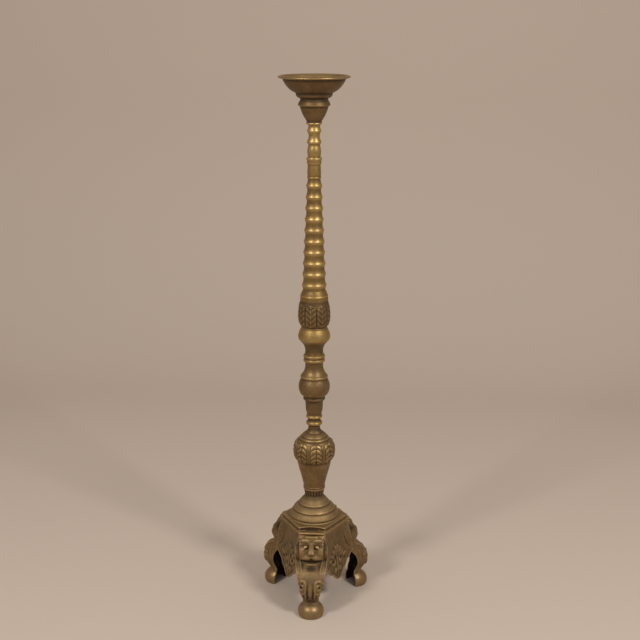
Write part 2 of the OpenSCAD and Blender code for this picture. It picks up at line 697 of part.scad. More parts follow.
// Half of a rounded bow from the side wall over the front, at angle a from -90 to 90
function bow(row, a, inset) =
    let (
        half = row[2] - inset,
        deep = row[1] - inset - row[3],
        square = 0.62,
        y = half * sign(sin(a)) * abs(sin(a)) ^ square,
        x = row[3] + deep * abs(cos(a)) ^ square,
        shape = inset == 0 ? mask(y, row[0]) * cos(a) ^ 2 : 0
    )
    [x + shape, y, row[0]];
function leg_ring(row) = concat(
    [[row[4], -row[2], row[0]]],
    [for (i = [0:front_steps]) bow(row, -90 + 180 * i / front_steps, 0)],
    [[row[4], row[2], row[0]], [row[4], row[2] - leg_wall, row[0]]],
    [for (i = [front_steps:-1:0]) bow(row, -90 + 180 * i / front_steps, leg_wall)],
    [[row[4], leg_wall - row[2], row[0]]]
);
// Skin over rings of equal length, closed over both ends by strips across the U
module skin(rings) {
    n = len(rings[0]);
    m = len(rings);
    half = n / 2;
    sides = [
        for (i = [0:m - 2], j = [0:n - 1])
            let (a = i * n + j, b = i * n + (j + 1) % n)
            each [[a, b, b + n], [a, b + n, a + n]]
    ];
    ends = [
        for (j = [0:half - 2])
            let (a = j, b = j + 1, c = n - 2 - j, d = n - 1 - j, e = (m - 1) * n)
            each [[a, d, c], [a, c, b], [a + e, b + e, c + e], [a + e, c + e, d + e]]
    ];
    polyhedron(points = [for (r = rings) each r], faces = concat(sides, ends), convexity = 6);
}
// One leg along +X: an open-backed channel with the mask, knee, ankle and hollow foot ball
module leg() {
    tab_x = leg_screw_r - boss_r - 2;
    difference() {
        union() {
            skin([for (r = leg_rows) leg_ring(r)]);
            translate([tab_x, -leg_tab_w / 2, leg_h - tab_t])
                cube([corner_r - 1.5 - tab_x, leg_tab_w, tab_t]);
        }
        translate([leg_screw_r, 0, leg_h - tab_t - 1])
            cylinder(h = tab_t + 2, r = screw_r + screw_clear, $fn = 32);
    }
}
module leg_front() {
    color(tan_brass) rotate(leg_turns[0]) leg();
}
module leg_right() {
    color(tan_brass) rotate(leg_turns[1]) leg();
}
module leg_left() {
    color(tan_brass) rotate(leg_turns[2]) leg();
}

// ---- Aprons ----

// Lower edge of the apron, at a share s of its half width: leafy lobes and a pendant leaf
lower_knots = [[0, 0], [0.12, 0.05], [0.24, 0.22], [0.34, 0.42], [0.44, 0.46], [0.56, 0.44],
    [0.68, 0.62], [0.8, 0.64], [0.9, 0.78], [1, 1]];
lower_table = smooth(lower_knots, 3);
function lower_z(s) = pendant_z + (crotch_z - pendant_z) * lookup(abs(s), lower_table);
// Relief of the apron: a rosette, two scrolls and the leaf's rib
function scrollwork(y, z) = apron_relief * (
    0.9 * swell(y, z, 0, leg_h - 62, 9, 9) + 0.8 * pair(y, z, 21, leg_h - 52, 7, 10)
    + 0.8 * pair(y, z, 36, leg_h - 70, 8, 8) + 0.7 * swell(y, z, 0, leg_h - 94, 7, 15)
    + 0.5 * pair(y, z, 14, leg_h - 86, 6, 8) + 0.4 * swell(y, z, 0, leg_h - 32, 16, 8)
);
// Distance from the axis to the apron's front at the top, just inside the cornice's long side
apron_face_r = side_r - apron_seat;
// Point of the apron along +X at shares s across and t down; k is 0 in front, 1 behind
function apron_point(s, t, k) =
    let (
        z = leg_h + (lower_z(s) - leg_h) * t,
        seat = max(z, crotch_z),
        reach = seam_r(seat) - k * apron_t * 1.2,
        half = leg_half(seat) + seam_gap,
        edge_x = reach * cos(60) + half * sin(60),
        edge_y = reach * sin(60) - half * cos(60),
        drop = (leg_h - z) / (leg_h - pendant_z),
        middle = apron_face_r,
        centre_x = middle + (pendant_r - middle) * drop ^ 1.6 - k * apron_t,
        calm = (1 - s ^ 4) * min(1, 4 * t),
        y = s * edge_y
    )
    [centre_x + (edge_x - centre_x) * abs(s) ^ 3 + (1 - k) * calm * scrollwork(y, z), y, z];
apron_cols = 24;
apron_lines = 12;
module apron() {
    n = apron_cols + 1;
    m = apron_lines + 1;
    grid = [
        for (k = [0, 1], i = [0:apron_lines], j = [0:apron_cols])
            apron_point(-1 + 2 * j / apron_cols, i / apron_lines, k)
    ];
    back = n * m;
    faces = [
        for (i = [0:m - 2], j = [0:n - 2])
            let (a = i * n + j, b = a + 1, c = a + n, d = c + 1)
            each [
                [a, b, d], [a, d, c],
                [a + back, d + back, b + back], [a + back, c + back, d + back]
            ]
    ];
    rims = [
        for (j = [0:n - 2])
            let (a = j, b = j + 1, c = (m - 1) * n + j, d = c + 1)
            each [[a, a + back, b + back], [a, b + back, b], [c, d, d + back], [c, d + back, c + back]]
    ];
    edges = [
        for (i = [0:m - 2])
            let (a = i * n, b = a + n, c = i * n + n - 1, d = c + n)
            each [[a, b, b + back], [a, b + back, a + back], [c, c + back, d + back], [c, d + back, d]]
    ];
    tab_x = apron_screw_r - boss_r;
    face_x = apron_face_r - 0.5 * apron_t;
    difference() {
        union() {
            polyhedron(points = grid, faces = concat(faces, rims, edges), convexity = 6);
            for (s = [-1, 1])
                translate([tab_x, s * apron_screw_y - apron_tab_w / 2, leg_h - tab_t])
                    cube([face_x - tab_x, apron_tab_w, tab_t]);
        }
        for (s = [-1, 1])
            translate([apron_screw_r, s * apron_screw_y, leg_h - tab_t - 1])
                cylinder(h = tab_t + 2, r = screw_r + screw_clear, $fn = 32);
    }
}
module apron_right() {
    color(tan_brass) rotate(apron_turns[0]) apron();
}
module apron_back() {
    color(tan_brass) rotate(apron_turns[1]) apron();
}
module apron_left() {
    color(tan_brass) rotate(apron_turns[2]) apron();
}

// Hexagon screw from below through a tab into a boss of the cornice
module screw() {
    translate([0, 0, leg_h - tab_t - screw_head_h])
        cylinder(h = screw_head_h, r = 1.9 * screw_r, $fn = 6);
    translate([0, 0, leg_h - tab_t - 0.5]) cylinder(h = tab_t + screw_bite + 0.5, r = screw_r, $fn = 32);
}
module leg_screws() {
    color(steel) at_leg_screws() screw();
}
module apron_screws() {
    color(steel) at_apron_screws() screw();
}

leg_front();
leg_right();
leg_left();
apron_right();
apron_back();
apron_left();
base_cornice();
leg_screws();
apron_screws();
base_bridge();
rod_washer();
rod_nut();
tie_rod();
base_dome();
fluted_collar();
vase();
neck_beads();
lower_cup();
ball_knop();
flared_cap();
ring_reel();
mushroom_knop();
leaf_sleeve();
ringed_shaft();
band_collar();
small_baluster();
socket_cup();
drip_pan();
pan_washer();
pan_nut();
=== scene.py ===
import math

import bpy
import numpy as np
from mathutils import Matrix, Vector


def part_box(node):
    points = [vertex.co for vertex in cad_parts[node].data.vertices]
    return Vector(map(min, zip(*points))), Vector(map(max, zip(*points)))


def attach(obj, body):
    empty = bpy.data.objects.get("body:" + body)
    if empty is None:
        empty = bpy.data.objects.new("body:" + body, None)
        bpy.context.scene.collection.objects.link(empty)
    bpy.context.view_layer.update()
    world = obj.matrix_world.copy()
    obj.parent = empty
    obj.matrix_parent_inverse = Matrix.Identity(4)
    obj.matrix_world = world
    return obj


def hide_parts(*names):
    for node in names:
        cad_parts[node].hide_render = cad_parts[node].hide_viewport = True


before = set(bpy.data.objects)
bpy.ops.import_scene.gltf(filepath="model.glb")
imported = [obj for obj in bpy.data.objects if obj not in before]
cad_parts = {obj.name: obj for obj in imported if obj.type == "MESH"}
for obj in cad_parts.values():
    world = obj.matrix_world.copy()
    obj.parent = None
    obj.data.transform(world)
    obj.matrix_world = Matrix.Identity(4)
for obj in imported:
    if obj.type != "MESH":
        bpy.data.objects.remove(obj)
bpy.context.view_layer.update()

# ---- Floor, backdrop, lamps and camera ----
# A pale seamless sheet lies under the stand and rises behind it. Two soft lamps stand left and
# right of the camera and above it, and give every turned ring its two highlights.


def linear(code):
    """Scene-linear colour of an sRGB hex code."""
    parts = [int(code[i : i + 2], 16) / 255 for i in (1, 3, 5)]
    return [c / 12.92 if c < 0.04045 else ((c + 0.055) / 1.055) ** 2.4 for c in parts] + [1]


def new_object(name, points, faces):
    """A smooth-shaded mesh object at the origin from points in millimetres."""
    mesh = bpy.data.meshes.new(name)
    mesh.from_pydata(np.asarray(points) * 0.001, [], np.asarray(faces).tolist())
    mesh.shade_smooth()
    thing = bpy.data.objects.new(name, mesh)
    bpy.context.scene.collection.objects.link(thing)
    return thing


SHEET_HALF_WIDTH, SHEET_FRONT, SHEET_TOP = 6000, -4500, 4200
SHEET_BEND_AT, SHEET_BEND_R = 1300, 900
bend = [math.radians(a) for a in range(0, 91, 6)]
sheet_line = [(SHEET_FRONT, 0)]
sheet_line += [
    (SHEET_BEND_AT + SHEET_BEND_R * math.sin(a), SHEET_BEND_R * (1 - math.cos(a))) for a in bend
]
sheet_line += [(SHEET_BEND_AT + SHEET_BEND_R, SHEET_TOP)]
backdrop = new_object(
    "backdrop",
    [(s * SHEET_HALF_WIDTH, y, z) for y, z in sheet_line for s in (-1, 1)],
    [(2 * i, 2 * i + 1, 2 * i + 3, 2 * i + 2) for i in range(len(sheet_line) - 1)],
)
paper = bpy.data.materials.new("matt backdrop paper")
paper.use_nodes = True
coating = paper.node_tree.nodes["Principled BSDF"].inputs
coating["Base Color"].default_value = linear("#CFC2B6")
coating["Roughness"].default_value = 0.9
backdrop.data.materials.append(paper)

room = bpy.data.worlds.new("soft room light")
room.use_nodes = True
glow = room.node_tree.nodes["Background"].inputs
glow["Color"].default_value = linear("#B9B0AA")
glow["Strength"].default_value = 0.75
bpy.context.scene.world = room

LAMP_SIZE, LAMP_COLOUR = 0.55, (1.0, 0.95, 0.88)
LAMPS_AIM_AT = 0.45  # height on the stand
# Lamp: degrees round from the camera's side, distance, height, watts
for turn, away, height, watts in ((-38, 2.3, 2.5, 34), (46, 2.3, 2.5, 40)):
    lamp = bpy.data.lights.new("soft lamp", "AREA")
    lamp.energy, lamp.size, lamp.color = watts, LAMP_SIZE, LAMP_COLOUR
    stand = bpy.data.objects.new("soft lamp", lamp)
    bpy.context.scene.collection.objects.link(stand)
    angle = math.radians(turn)
    stand.location = (away * math.sin(angle), -away * math.cos(angle), height)
    stand.rotation_euler = (math.atan2(away, height - LAMPS_AIM_AT), 0, angle)

CAMERA_AWAY, CAMERA_UP = 2.2764, 1.2262
CAMERA_TURN, CAMERA_TILT = math.radians(4.07), math.radians(15.086)
PICTURE, MIDDLE = 640, 314.2  # width, and where the camera's axis meets it
camera = bpy.data.objects.new("camera", bpy.data.cameras.new("camera"))
bpy.context.scene.collection.objects.link(camera)
camera.data.sensor_width = 36
camera.data.lens = 64.87
camera.data.shift_x = (PICTURE / 2 - MIDDLE) / PICTURE
camera_y = -CAMERA_AWAY * math.cos(CAMERA_TURN)
camera.location = (CAMERA_AWAY * math.sin(CAMERA_TURN), camera_y, CAMERA_UP)
camera.rotation_euler = (math.pi / 2 - CAMERA_TILT, 0, CAMERA_TURN)
bpy.context.scene.camera = camera
bpy.context.scene.view_settings.view_transform = "Standard"

# ---- Legs ----
# Three hollow sand castings, alike and open behind. Each has a lion mask under the cornice, a
# smooth shield, a knee with two volutes and a leaf, and an ankle over a hollow foot ball.

RAW_AND_SHADED_INSIDE = "#302A24"  # casting skin that was never cleaned, and painted shade inside the hollow castings
SUM = "ShaderNodeMath"  # the node for one step of arithmetic


def add(tree, kind, inputs=(), **settings):
    """A node with its settings. Its inputs come in order, or each by its name or number, and
    each is a value, a socket or a node."""
    node = tree.nodes.new(kind)
    for key, value in settings.items():
        setattr(node, key, value)
    for key, value in inputs.items() if isinstance(inputs, dict) else enumerate(inputs):
        if isinstance(value, bpy.types.Node):
            value = value.outputs[0]
        if isinstance(value, bpy.types.NodeSocket):
            tree.links.new(value, node.inputs[key])
        else:
            node.inputs[key].default_value = value
    return node


def bare_material(name):
    """A material without nodes, its tree, and the place on a piece that its patterns read."""
    material = bpy.data.materials.new(name)
    material.use_nodes = True
    tree = material.node_tree
    tree.nodes.clear()
    return material, tree, add(tree, "ShaderNodeTexCoord").outputs["Object"]


def aged_brass(name, recess, body, worn, rough, turned=False, even=None):
    """Brass left to darken indoors for decades: a thin brown oxide stays in the hollows and is
    rubbed off the crests. Cast skin is mottled; lathe work also has fine rings in it. The piece's
    own wear and any painted light and shade pick the colour, unless it is even all over."""
    material, tree, place = bare_material(name)
    # cloudy oxide in patches of 26 mm, mottling of 4 mm, cast grain of 1 mm, dark spots of 6 mm
    cloud, mottle, grain, spots = [
        add(tree, "ShaderNodeTexNoise", {"Vector": place, "Scale": 1000 / wide, "Detail": detail})
        for wide, detail in ((26, 4.0), (4, 5.0), (1, 2.0), (6, 6.0))
    ]
    tone = even
    if even is None:
        tone = add(tree, "ShaderNodeAttribute", attribute_name="wear").outputs["Fac"]
    for noise, share in ((cloud, 0.30), (mottle, 0.24)):
        centred = add(tree, SUM, (noise, 0.5), operation="SUBTRACT")
        tone = add(tree, SUM, (centred, share, tone), operation="MULTIPLY_ADD")
    colours = add(tree, "ShaderNodeValToRGB", (tone,))
    ramp = colours.color_ramp
    ramp.elements[0].color = linear(RAW_AND_SHADED_INSIDE)
    ramp.elements[1].position, ramp.elements[1].color = 0.90, linear(worn)
    for position, code in ((0.18, recess), (0.50, body)):
        ramp.elements.new(position).color = linear(code)
    share = add(tree, "ShaderNodeMapRange", (spots, 0.60, 0.72, 0.0, 0.35))
    spotted = {0: share, 6: colours, 7: linear(recess)}
    colour = add(tree, "ShaderNodeMix", spotted, data_type="RGBA").outputs[2]
    # the ball feet, below 30 mm, are rubbed smooth by shoes and floor cloths
    up = add(tree, "ShaderNodeSeparateXYZ", (place,)).outputs[2]
    smooth = add(tree, "ShaderNodeMapRange", (up, 0.028, 0.036, 0.14, 0.0))
    dull = add(tree, "ShaderNodeMapRange", (tone, 0.25, 0.9, *rough))
    dull = add(tree, SUM, (dull, smooth), operation="SUBTRACT")
    metal = add(tree, "ShaderNodeMapRange", (tone, 0.2, 0.8, 0.45, 0.9))
    height = add(tree, SUM, (mottle, 1.6, grain), operation="MULTIPLY_ADD")
    if turned:
        # the turning tool leaves rings; real ones are finer than these 1.3 mm ones
        along = add(tree, SUM, (up, 1000 / 1.3), operation="MULTIPLY")
        rings = add(tree, "ShaderNodeTexNoise", {"W": along, "Scale": 1.0}, noise_dimensions="1D")
        height = add(tree, SUM, (rings, height), operation="ADD")
    bump = add(tree, "ShaderNodeBump", {"Height": height, "Distance": 0.0002, "Strength": 0.45})
    skin = {"Base Color": colour, "Metallic": metal, "Roughness": dull, "Normal": bump}
    add(tree, "ShaderNodeOutputMaterial", (add(tree, "ShaderNodeBsdfPrincipled", skin),))
    return material


class Pattern:
    """A casting's pattern: distances on a grid in millimetres, negative inside the metal."""

    def __init__(self, low, high, step):
        self.low, self.step = np.array(low, float), step
        self.axes = [np.arange(a, b + step / 2, step) for a, b in zip(low, high)]
        self.points = np.meshgrid(*self.axes, indexing="ij", sparse=True)
        self.field = None

    def shape(self, values):
        """Takes a rough field whose zero is right, and makes it a distance near there."""
        slopes = np.gradient(values, self.step)
        self.field = values / np.maximum(np.sqrt(sum(s * s for s in slopes)), 0.02)

    def lay(self, form, blend, take=False):
        """Joins a form to the pattern over a soft edge."""
        distance, low, high = form
        span = []
        for a, b, first, axis in zip(low, high, self.low, self.axes):
            start = int((a - blend - 2 - first) // self.step)
            end = int((b + blend + 2 - first) // self.step) + 2
            span.append(slice(max(0, start), max(0, min(len(axis), end))))
        span = tuple(span)
        near = np.meshgrid(*[a[s] for a, s in zip(self.axes, span)], indexing="ij", sparse=True)
        sign = -1 if take else 1
        old, new = sign * self.field[span], distance(*near)
        h = np.clip(0.5 + 0.5 * (old - new) / blend, 0, 1)
        self.field[span] = sign * (old * (1 - h) + new * h - blend * h * (1 - h))

    def take(self, form, blend):
        """Takes a form out of the pattern, over a soft edge."""
        self.lay(form, blend, take=True)

    def keep(self, values):
        """Cuts the pattern off sharply where values are above zero."""
        self.field = np.maximum(self.field, values)


def ball(centre, radii, turn=0):
    """An ellipsoid, turned by some degrees about the first axis."""
    c, s = math.cos(math.radians(turn)), math.sin(math.radians(turn))

    def distance(x, y, z):
        dy, dz = y - centre[1], z - centre[2]
        u = (x - centre[0]) / radii[0]
        v = (dy * c + dz * s) / radii[1]
        w = (dz * c - dy * s) / radii[2]
        far = np.sqrt(u * u + v * v + w * w)
        slope = np.sqrt((u / radii[0]) ** 2 + (v / radii[1]) ** 2 + (w / radii[2]) ** 2)
        return far * (far - 1) / np.maximum(slope, 1e-6)

    reach = max(radii[1], radii[2])
    low = [centre[0] - radii[0], centre[1] - reach, centre[2] - reach]
    return distance, low, [2 * a - b for a, b in zip(centre, low)]


def roll(points, radii):
    """A tapering round roll of wax along a line of points."""
    points = [np.array(p, float) for p in points]

    def distance(x, y, z):
        nearest = None
        for a, b, ra, rb in zip(points, points[1:], radii, radii[1:]):
            d = b - a
            t = ((x - a[0]) * d[0] + (y - a[1]) * d[1] + (z - a[2]) * d[2]) / max(d @ d, 1e-9)
            t = np.clip(t, 0, 1)
            gap = (x - a[0] - t * d[0]) ** 2 + (y - a[1] - t * d[1]) ** 2
            gap = np.sqrt(gap + (z - a[2] - t * d[2]) ** 2) - (ra + (rb - ra) * t)
            nearest = gap if nearest is None else np.minimum(nearest, gap)
        return nearest

    return distance, np.min(points, 0) - max(radii), np.max(points, 0) + max(radii)


def bent(points, steps=5):
    """A smooth run through control points of any dimension."""
    p = np.array(points, float)
    ends = np.vstack([2 * p[0] - p[1], p, 2 * p[-1] - p[-2]])
    run = []
    for a, b, c, d in zip(ends, ends[1:], ends[2:], ends[3:]):
        for t in np.arange(steps) / steps:
            curve = (2 * a - 5 * b + 4 * c - d) * t**2 + (3 * b - a - 3 * c + d) * t**3
            run.append(0.5 * (2 * b + (c - a) * t + curve))
    return run + [p[-1]]


def mesh_of(field, low, step):
    """Closed quad mesh at the field's zero: one point in each cell that the surface crosses."""
    inside = field < 0
    n = np.array(field.shape)
    count = np.zeros(n - 1, int)
    for i, j, k in np.ndindex(2, 2, 2):
        count += inside[i : n[0] - 1 + i, j : n[1] - 1 + j, k : n[2] - 1 + k]
    mixed = (count > 0) & (count < 8)
    cells = np.argwhere(mixed)
    index = np.full(mixed.shape, -1)
    index[mixed] = np.arange(len(cells))
    total, crossings = np.zeros((len(cells), 3)), np.zeros((len(cells), 1))
    units = np.eye(3, dtype=int)
    faces = []
    for axis in range(3):
        along, sideways = units[axis], np.delete(units, axis, 0)
        for i, j in np.ndindex(2, 2):
            first = i * sideways[0] + j * sideways[1]
            f0, f1 = field[tuple((cells + first).T)], field[tuple((cells + first + along).T)]
            cross = (f0 < 0) != (f1 < 0)
            t = f0[cross] / (f0[cross] - f1[cross])
            total[cross] += first + t[:, None] * along
            crossings[cross] += 1
        u, v = units[(axis + 1) % 3], units[(axis + 2) % 3]
        end = n - along
        here = inside[: end[0], : end[1], : end[2]]
        there = inside[along[0] :, along[1] :, along[2] :]
        for leaving, order in ((here & ~there, 1), (~here & there, -1)):
            edges = np.argwhere(leaving)
            corners = [index[tuple((edges - d).T)] for d in (u + v, v, 0 * u, u)]
            faces.append(np.stack(corners[::order], 1))
    return np.array(low) + step * (cells + total / crossings), np.vstack(faces)


def crests(points, faces, rounds, reach):
    """How proud of its surroundings each point of an even mesh stands, centred on 0."""
    a, b = faces.T.ravel(), np.roll(faces, -1, axis=1).T.ravel()
    a, b = np.concatenate([a, b]), np.concatenate([b, a])
    n = len(points)
    near = np.bincount(a, minlength=n)
    soft = points.copy()
    for _ in range(rounds):
        soft = np.stack([np.bincount(a, soft[b, k], n) for k in range(3)], 1) / near[:, None]
    cross = np.cross(points[faces[:, 2]] - points[faces[:, 0]], points[faces[:, 3]] - points[faces[:, 1]])
    normal = [sum(np.bincount(faces[:, c], cross[:, k], n) for c in range(4)) for k in range(3)]
    normal = np.stack(normal, 1)
    normal /= np.maximum(np.linalg.norm(normal, axis=1), 1e-9)[:, None]
    return np.clip(((points - soft) * normal).sum(1) / reach, -1, 1)


PLAIN_WEAR = 0.47
RAW_AND_SHADED_WEAR = -0.3  # inside, where nobody rubs, and painted shade there


def wear_of(points, faces):
    """Share of rubbed metal, 0 in the hollows and 1 on the crests, at two scales of relief."""
    fine, broad = crests(points, faces, 10, 0.55), crests(points, faces, 90, 3.2)
    return np.clip(PLAIN_WEAR + 0.15 * fine + 0.12 * broad, 0, 1)


def paint_wear_and_light(thing, wear):
    """Stores how rubbed each point is, with any light and shade painted on it, where the brass reads it."""
    attribute = thing.data.attributes.new("wear", "FLOAT", "POINT")
    attribute.data.foreach_set("value", np.asarray(wear, np.float32))


def fit(thing, material, node):
    """The finished piece takes its place on the stand, for the CAD node it stands for."""
    thing.data.materials.clear()
    thing.data.materials.append(material)
    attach(thing, "root")
    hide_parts(node)


cast_brass = aged_brass("aged cast brass", "#43311D", "#89714E", "#C0A36E", (0.66, 0.46))

LEG_TOP, LEG_WALL, LEG_STEP = 166.0, 3.5, 0.9
# Down the leg: height, distance out of the ridge, half width, start of the side wall, back edge
LEG_ROWS = [(166, 70, 26, 66.4, 59.5), (162, 76, 28, 68, 60.2), (154, 83, 32, 73, 61.7)]
LEG_ROWS += [(144, 87, 34.3, 80, 63.5), (136, 90, 34.5, 85, 64.9), (130, 90, 34.3, 84, 66)]
LEG_ROWS += [(124, 88, 33.8, 81, 67.1), (118, 84, 33.2, 77.5, 68.2), (113, 84, 33, 78, 69.1)]
LEG_ROWS += [(109, 91, 32.8, 83, 69.8), (105, 99.5, 32.4, 91, 70.5), (98, 108.5, 30.4, 100, 71.8)]
LEG_ROWS += [(92, 113, 28.7, 104, 74.5), (84, 116.8, 26.6, 107, 82), (76, 119.4, 24.5, 108, 89)]
LEG_ROWS += [(66, 122, 22.8, 110, 94), (56, 122.4, 21.2, 110, 96), (49, 120.5, 19.6, 108, 96)]
LEG_ROWS += [(43, 115.5, 17.8, 104, 94), (36, 109.5, 16.6, 100.5, 90), (30, 108.5, 16.3, 99.5, 89.5)]
LEG_ROWS += [(24, 109, 17, 99.5, 89.5), (0, 110, 18, 99.5, 89.5)]
BOW = 3.1  # how square the front of a row is
EASE = 8  # the rows run into one another over this many half millimetres

fine_z = np.arange(0, LEG_TOP + 0.6, 0.5)
bell = np.exp(-(np.arange(-EASE, EASE + 1) ** 2) / 18.0)
bell /= bell.sum()
leg_heights, *leg_sizes = np.array(LEG_ROWS)[::-1].T
leg_lines = [
    np.convolve(np.pad(np.interp(fine_z, leg_heights, sizes), EASE, "edge"), bell, "valid")
    for sizes in leg_sizes
]


def leg_at(z):
    """Ridge, half width, side start and back edge of the leg at height z."""
    return [np.interp(z, fine_z, line) for line in leg_lines]


def face_of_leg(y, z, lift=0.0):
    """A point on the leg's face at y across and z up, with a lift off it."""
    ridge, half, side, _ = leg_at(z)
    share = max(0.0, 1 - min(1.0, abs(y) / half) ** BOW) ** (1 / BOW)
    return side + (ridge - side) * share + lift, y, z


def on_face(line, lift):
    """Points on the leg's face from pairs of place across and height."""
    return [face_of_leg(y, z, lift) for y, z in bent(line)]


def on_side(line, lift):
    """Points on the leg's side wall from pairs of distance out and height."""
    return [(r, leg_at(z)[1] + lift, z) for r, z in bent(line)]


def tapered(points, *radii):
    """A roll along points, its radii spread evenly from end to end."""
    at = np.linspace(0, 1, len(points))
    return roll(points, list(np.interp(at, np.linspace(0, 1, len(radii)), radii)))


leg = Pattern((38, 0, -3), (132, 41, 169), LEG_STEP)
x, y, z = leg.points
ridge, half, side, back = leg_at(z)
bowed = (np.maximum(x - side, 0) / (ridge - side)) ** BOW + (y / half) ** BOW
leg.shape(bowed ** (1 / BOW) - 1)
# squat foot ball; the floor cuts it off flat
FOOT, FOOT_RADII = (99.5, 0, 9), (27.3, 27.3, 22.5)
leg.lay(ball(FOOT, FOOT_RADII), 3)
leg_core = leg.field + LEG_WALL

# the mask, from the brows down to the beard; y is across and z up
leg.lay(ball(face_of_leg(0, 161, -2.6), (4.6, 15, 8)), 3)
leg.lay(ball(face_of_leg(13.4, 157, -1.4), (4.6, 9.4, 5.0), 6), 1.8)
leg.take(roll([face_of_leg(1.6, 158, 1.6), face_of_leg(1.4, 152, 1.4)], [0.8, 1.2]), 1.2)
leg.take(ball(face_of_leg(12, 147, 2.9), (5.2, 8.8, 7.2)), 0.8)
leg.lay(ball(face_of_leg(12, 146.6, -1.0), (4.0, 4.2, 3.1)), 0.2)
for across in (0, 1.8):
    nose = [(83, across, 152), (85, across * 1.2, 145.6)]
    nose += [(87.6, across * 1.4, 139.6), (90.4, across * 1.6, 134.4)]
    leg.lay(tapered(bent(nose), 2.4, 2.8, 3.3, 4.0), 2.6)
leg.lay(ball((90.6, 4.2, 133.6), (3.4, 2.8, 2.6)), 2.0)
leg.lay(ball(face_of_leg(19.5, 136.6, -1.6), (6, 7.4, 10)), 4)
puff = [(3.6, 125.2), (9, 124.8), (15, 123.8), (20.4, 121.8)]
leg.lay(tapered(on_face(puff, -0.9), 5.4, 7.2, 6.4, 4.0), 4.5)
leg.take(roll([(98.6, 0, 129), (97.6, 0, 116)], [0.8, 1.1]), 1.8)
mouth = [(0, 112.8), (7, 113), (13.6, 114.4), (18, 116.6), (22, 119.6)]
leg.take(tapered(on_face(mouth, 1.0), 1.5, 1.6, 1.7, 1.7, 1.4), 1.0)
leg.lay(ball(face_of_leg(0, 109.4, 0.4), (3.6, 11.6, 2.3)), 1.0)
leg.take(tapered(on_face([(0, 103.8), (5, 104), (9.4, 105.4)], 4.6), 3.6, 3.4, 2.6), 1.2)
# dark hollow between the face and the edge, with the ragged mane at its inner side
hollow = [(26.4, 161), (27.6, 153), (28.2, 142), (27.2, 131), (25.8, 122)]
leg.take(tapered(on_face(hollow, 1.4), 2.0, 2.3, 2.5, 2.3, 1.4), 1.6)
for k in range(6):
    high = 156 - 5.6 * k
    leg.lay(ball(face_of_leg(24.4 - 0.2 * k, high, -0.6), (2.4, 2.8, 2.0), -50), 1.0)
lock = [(24.4, 117), (22.6, 111), (20.4, 105), (19.6, 100), (21, 95)]
leg.lay(tapered(on_face(lock, 0.0), 1.0, 1.8, 1.7, 1.4, 0.7), 1.2)
for k in range(3):
    lock = [(71 + 3.4 * k, 158 - 2 * k), (76 + 3.4 * k, 147 - 2 * k), (75 + 4 * k, 136 - k)]
    lock += [(73 + 3.8 * k, 124 - k), (76 + 2.6 * k, 112 + 1.2 * k)]
    leg.lay(tapered(on_side(lock, -1.0), 1.0, 1.8, 2.0, 1.7, 0.9), 1.4)

# thin bead down each edge, from the cheek to the knee
bead = [
    (leg_at(h)[2] + 0.55 * (leg_at(h)[0] - leg_at(h)[2]), leg_at(h)[1] - 0.9, h)
    for h in np.arange(145, 88, -3.5)
]
leg.lay(tapered(bead, 0.6, 1.1, 1.2, 1.2, 0.9), 1.6)
# volute: a wide band that arches over from the edge, runs down beside the stem and curls up to
# a drilled eye near the edge
coil = [(25, 73.5), (23.8, 79.6), (19, 83.4), (13.6, 82.6), (10.4, 78), (9.6, 71), (9.8, 63.6)]
coil += [(13, 58), (17, 57), (19.7, 61), (20.2, 66.4)]
leg.lay(tapered(on_face(coil, -0.7), 1.6, 2.8, 3.2, 3.6, 3.6, 3.2, 2.8, 1.8), 2.0)
leg.lay(ball(face_of_leg(15.6, 68.6, -0.9), (3.4, 5.2, 9.2), 6), 1.8)
EYE = (18.4, 71.6)
leg.take(roll([face_of_leg(*EYE, 4), face_of_leg(*EYE, -2.2)], [2.8, 2.0]), 0.8)
# stem between the volutes, and the leaf under them
leg.lay(tapered(on_face([(0, 80), (0, 70), (0, 58), (0, 47)], -4.2), 3.0, 5.4, 6.0, 5.4), 2.4)
leg.take(tapered(on_face([(6.2, 78), (6.2, 66), (6.2, 55), (5.8, 45)], 2.2), 0.9, 1.7, 2.3, 2.1), 1.2)
leg.lay(tapered(on_face([(9.6, 58), (9.4, 51), (8.8, 46.5)], 0.0), 2.0, 3.2, 2.4), 1.2)
leg.lay(tapered(on_face([(16.4, 57), (15.6, 51), (14.2, 47.5)], 0.0), 1.6, 2.6, 1.8), 1.2)
leg.take(tapered(on_face([(12.9, 56), (12.4, 46)], 1.8), 0.9, 1.3), 0.9)
# low leaf on the knee's side wall
curl = [(82, 90), (89, 92), (96, 86), (99.5, 76), (101, 64), (99, 54), (94, 50)]
leg.lay(tapered(on_side(curl, -1.2), 1.2, 1.9, 2.0, 1.6, 1.0), 1.6)
leg.lay(ball((110.4, 0, 43.8), (4.5, 17, 2.4)), 1.4)

leg.keep(-leg_core)
leg.keep(back - x + 0 * y)
leg.keep(-z + 0 * (x + y))
leg.keep(z - LEG_TOP + 0 * (x + y))

TAB_T, TAB_HOLE_R, SCREW_OUT = 5, 2.8, 50


def lay_tab(pattern, inner, outer, place, half, screw_out):
    """Joins a flat tab to the back of a casting, under the cornice, between two distances out. It
    has a place across and a half width, and a hole for a screw."""
    x, y, z = pattern.points
    tab = np.maximum(np.abs(x - (inner + outer) / 2) - (outer - inner) / 2, np.abs(y - place) - half)
    tab = np.maximum(tab, np.abs(z - LEG_TOP + TAB_T / 2) - TAB_T / 2)
    tab = np.maximum(tab, TAB_HOLE_R - np.hypot(x - screw_out, y - place))
    pattern.field = np.minimum(pattern.field, tab)


def both_halves(pattern):
    """The mesh of a pattern of one half, joined to its mirror image."""
    field = np.concatenate([pattern.field[:, :0:-1], pattern.field], axis=1)
    return mesh_of(field, (pattern.low[0], -pattern.axes[1][-1], pattern.low[2]), pattern.step)


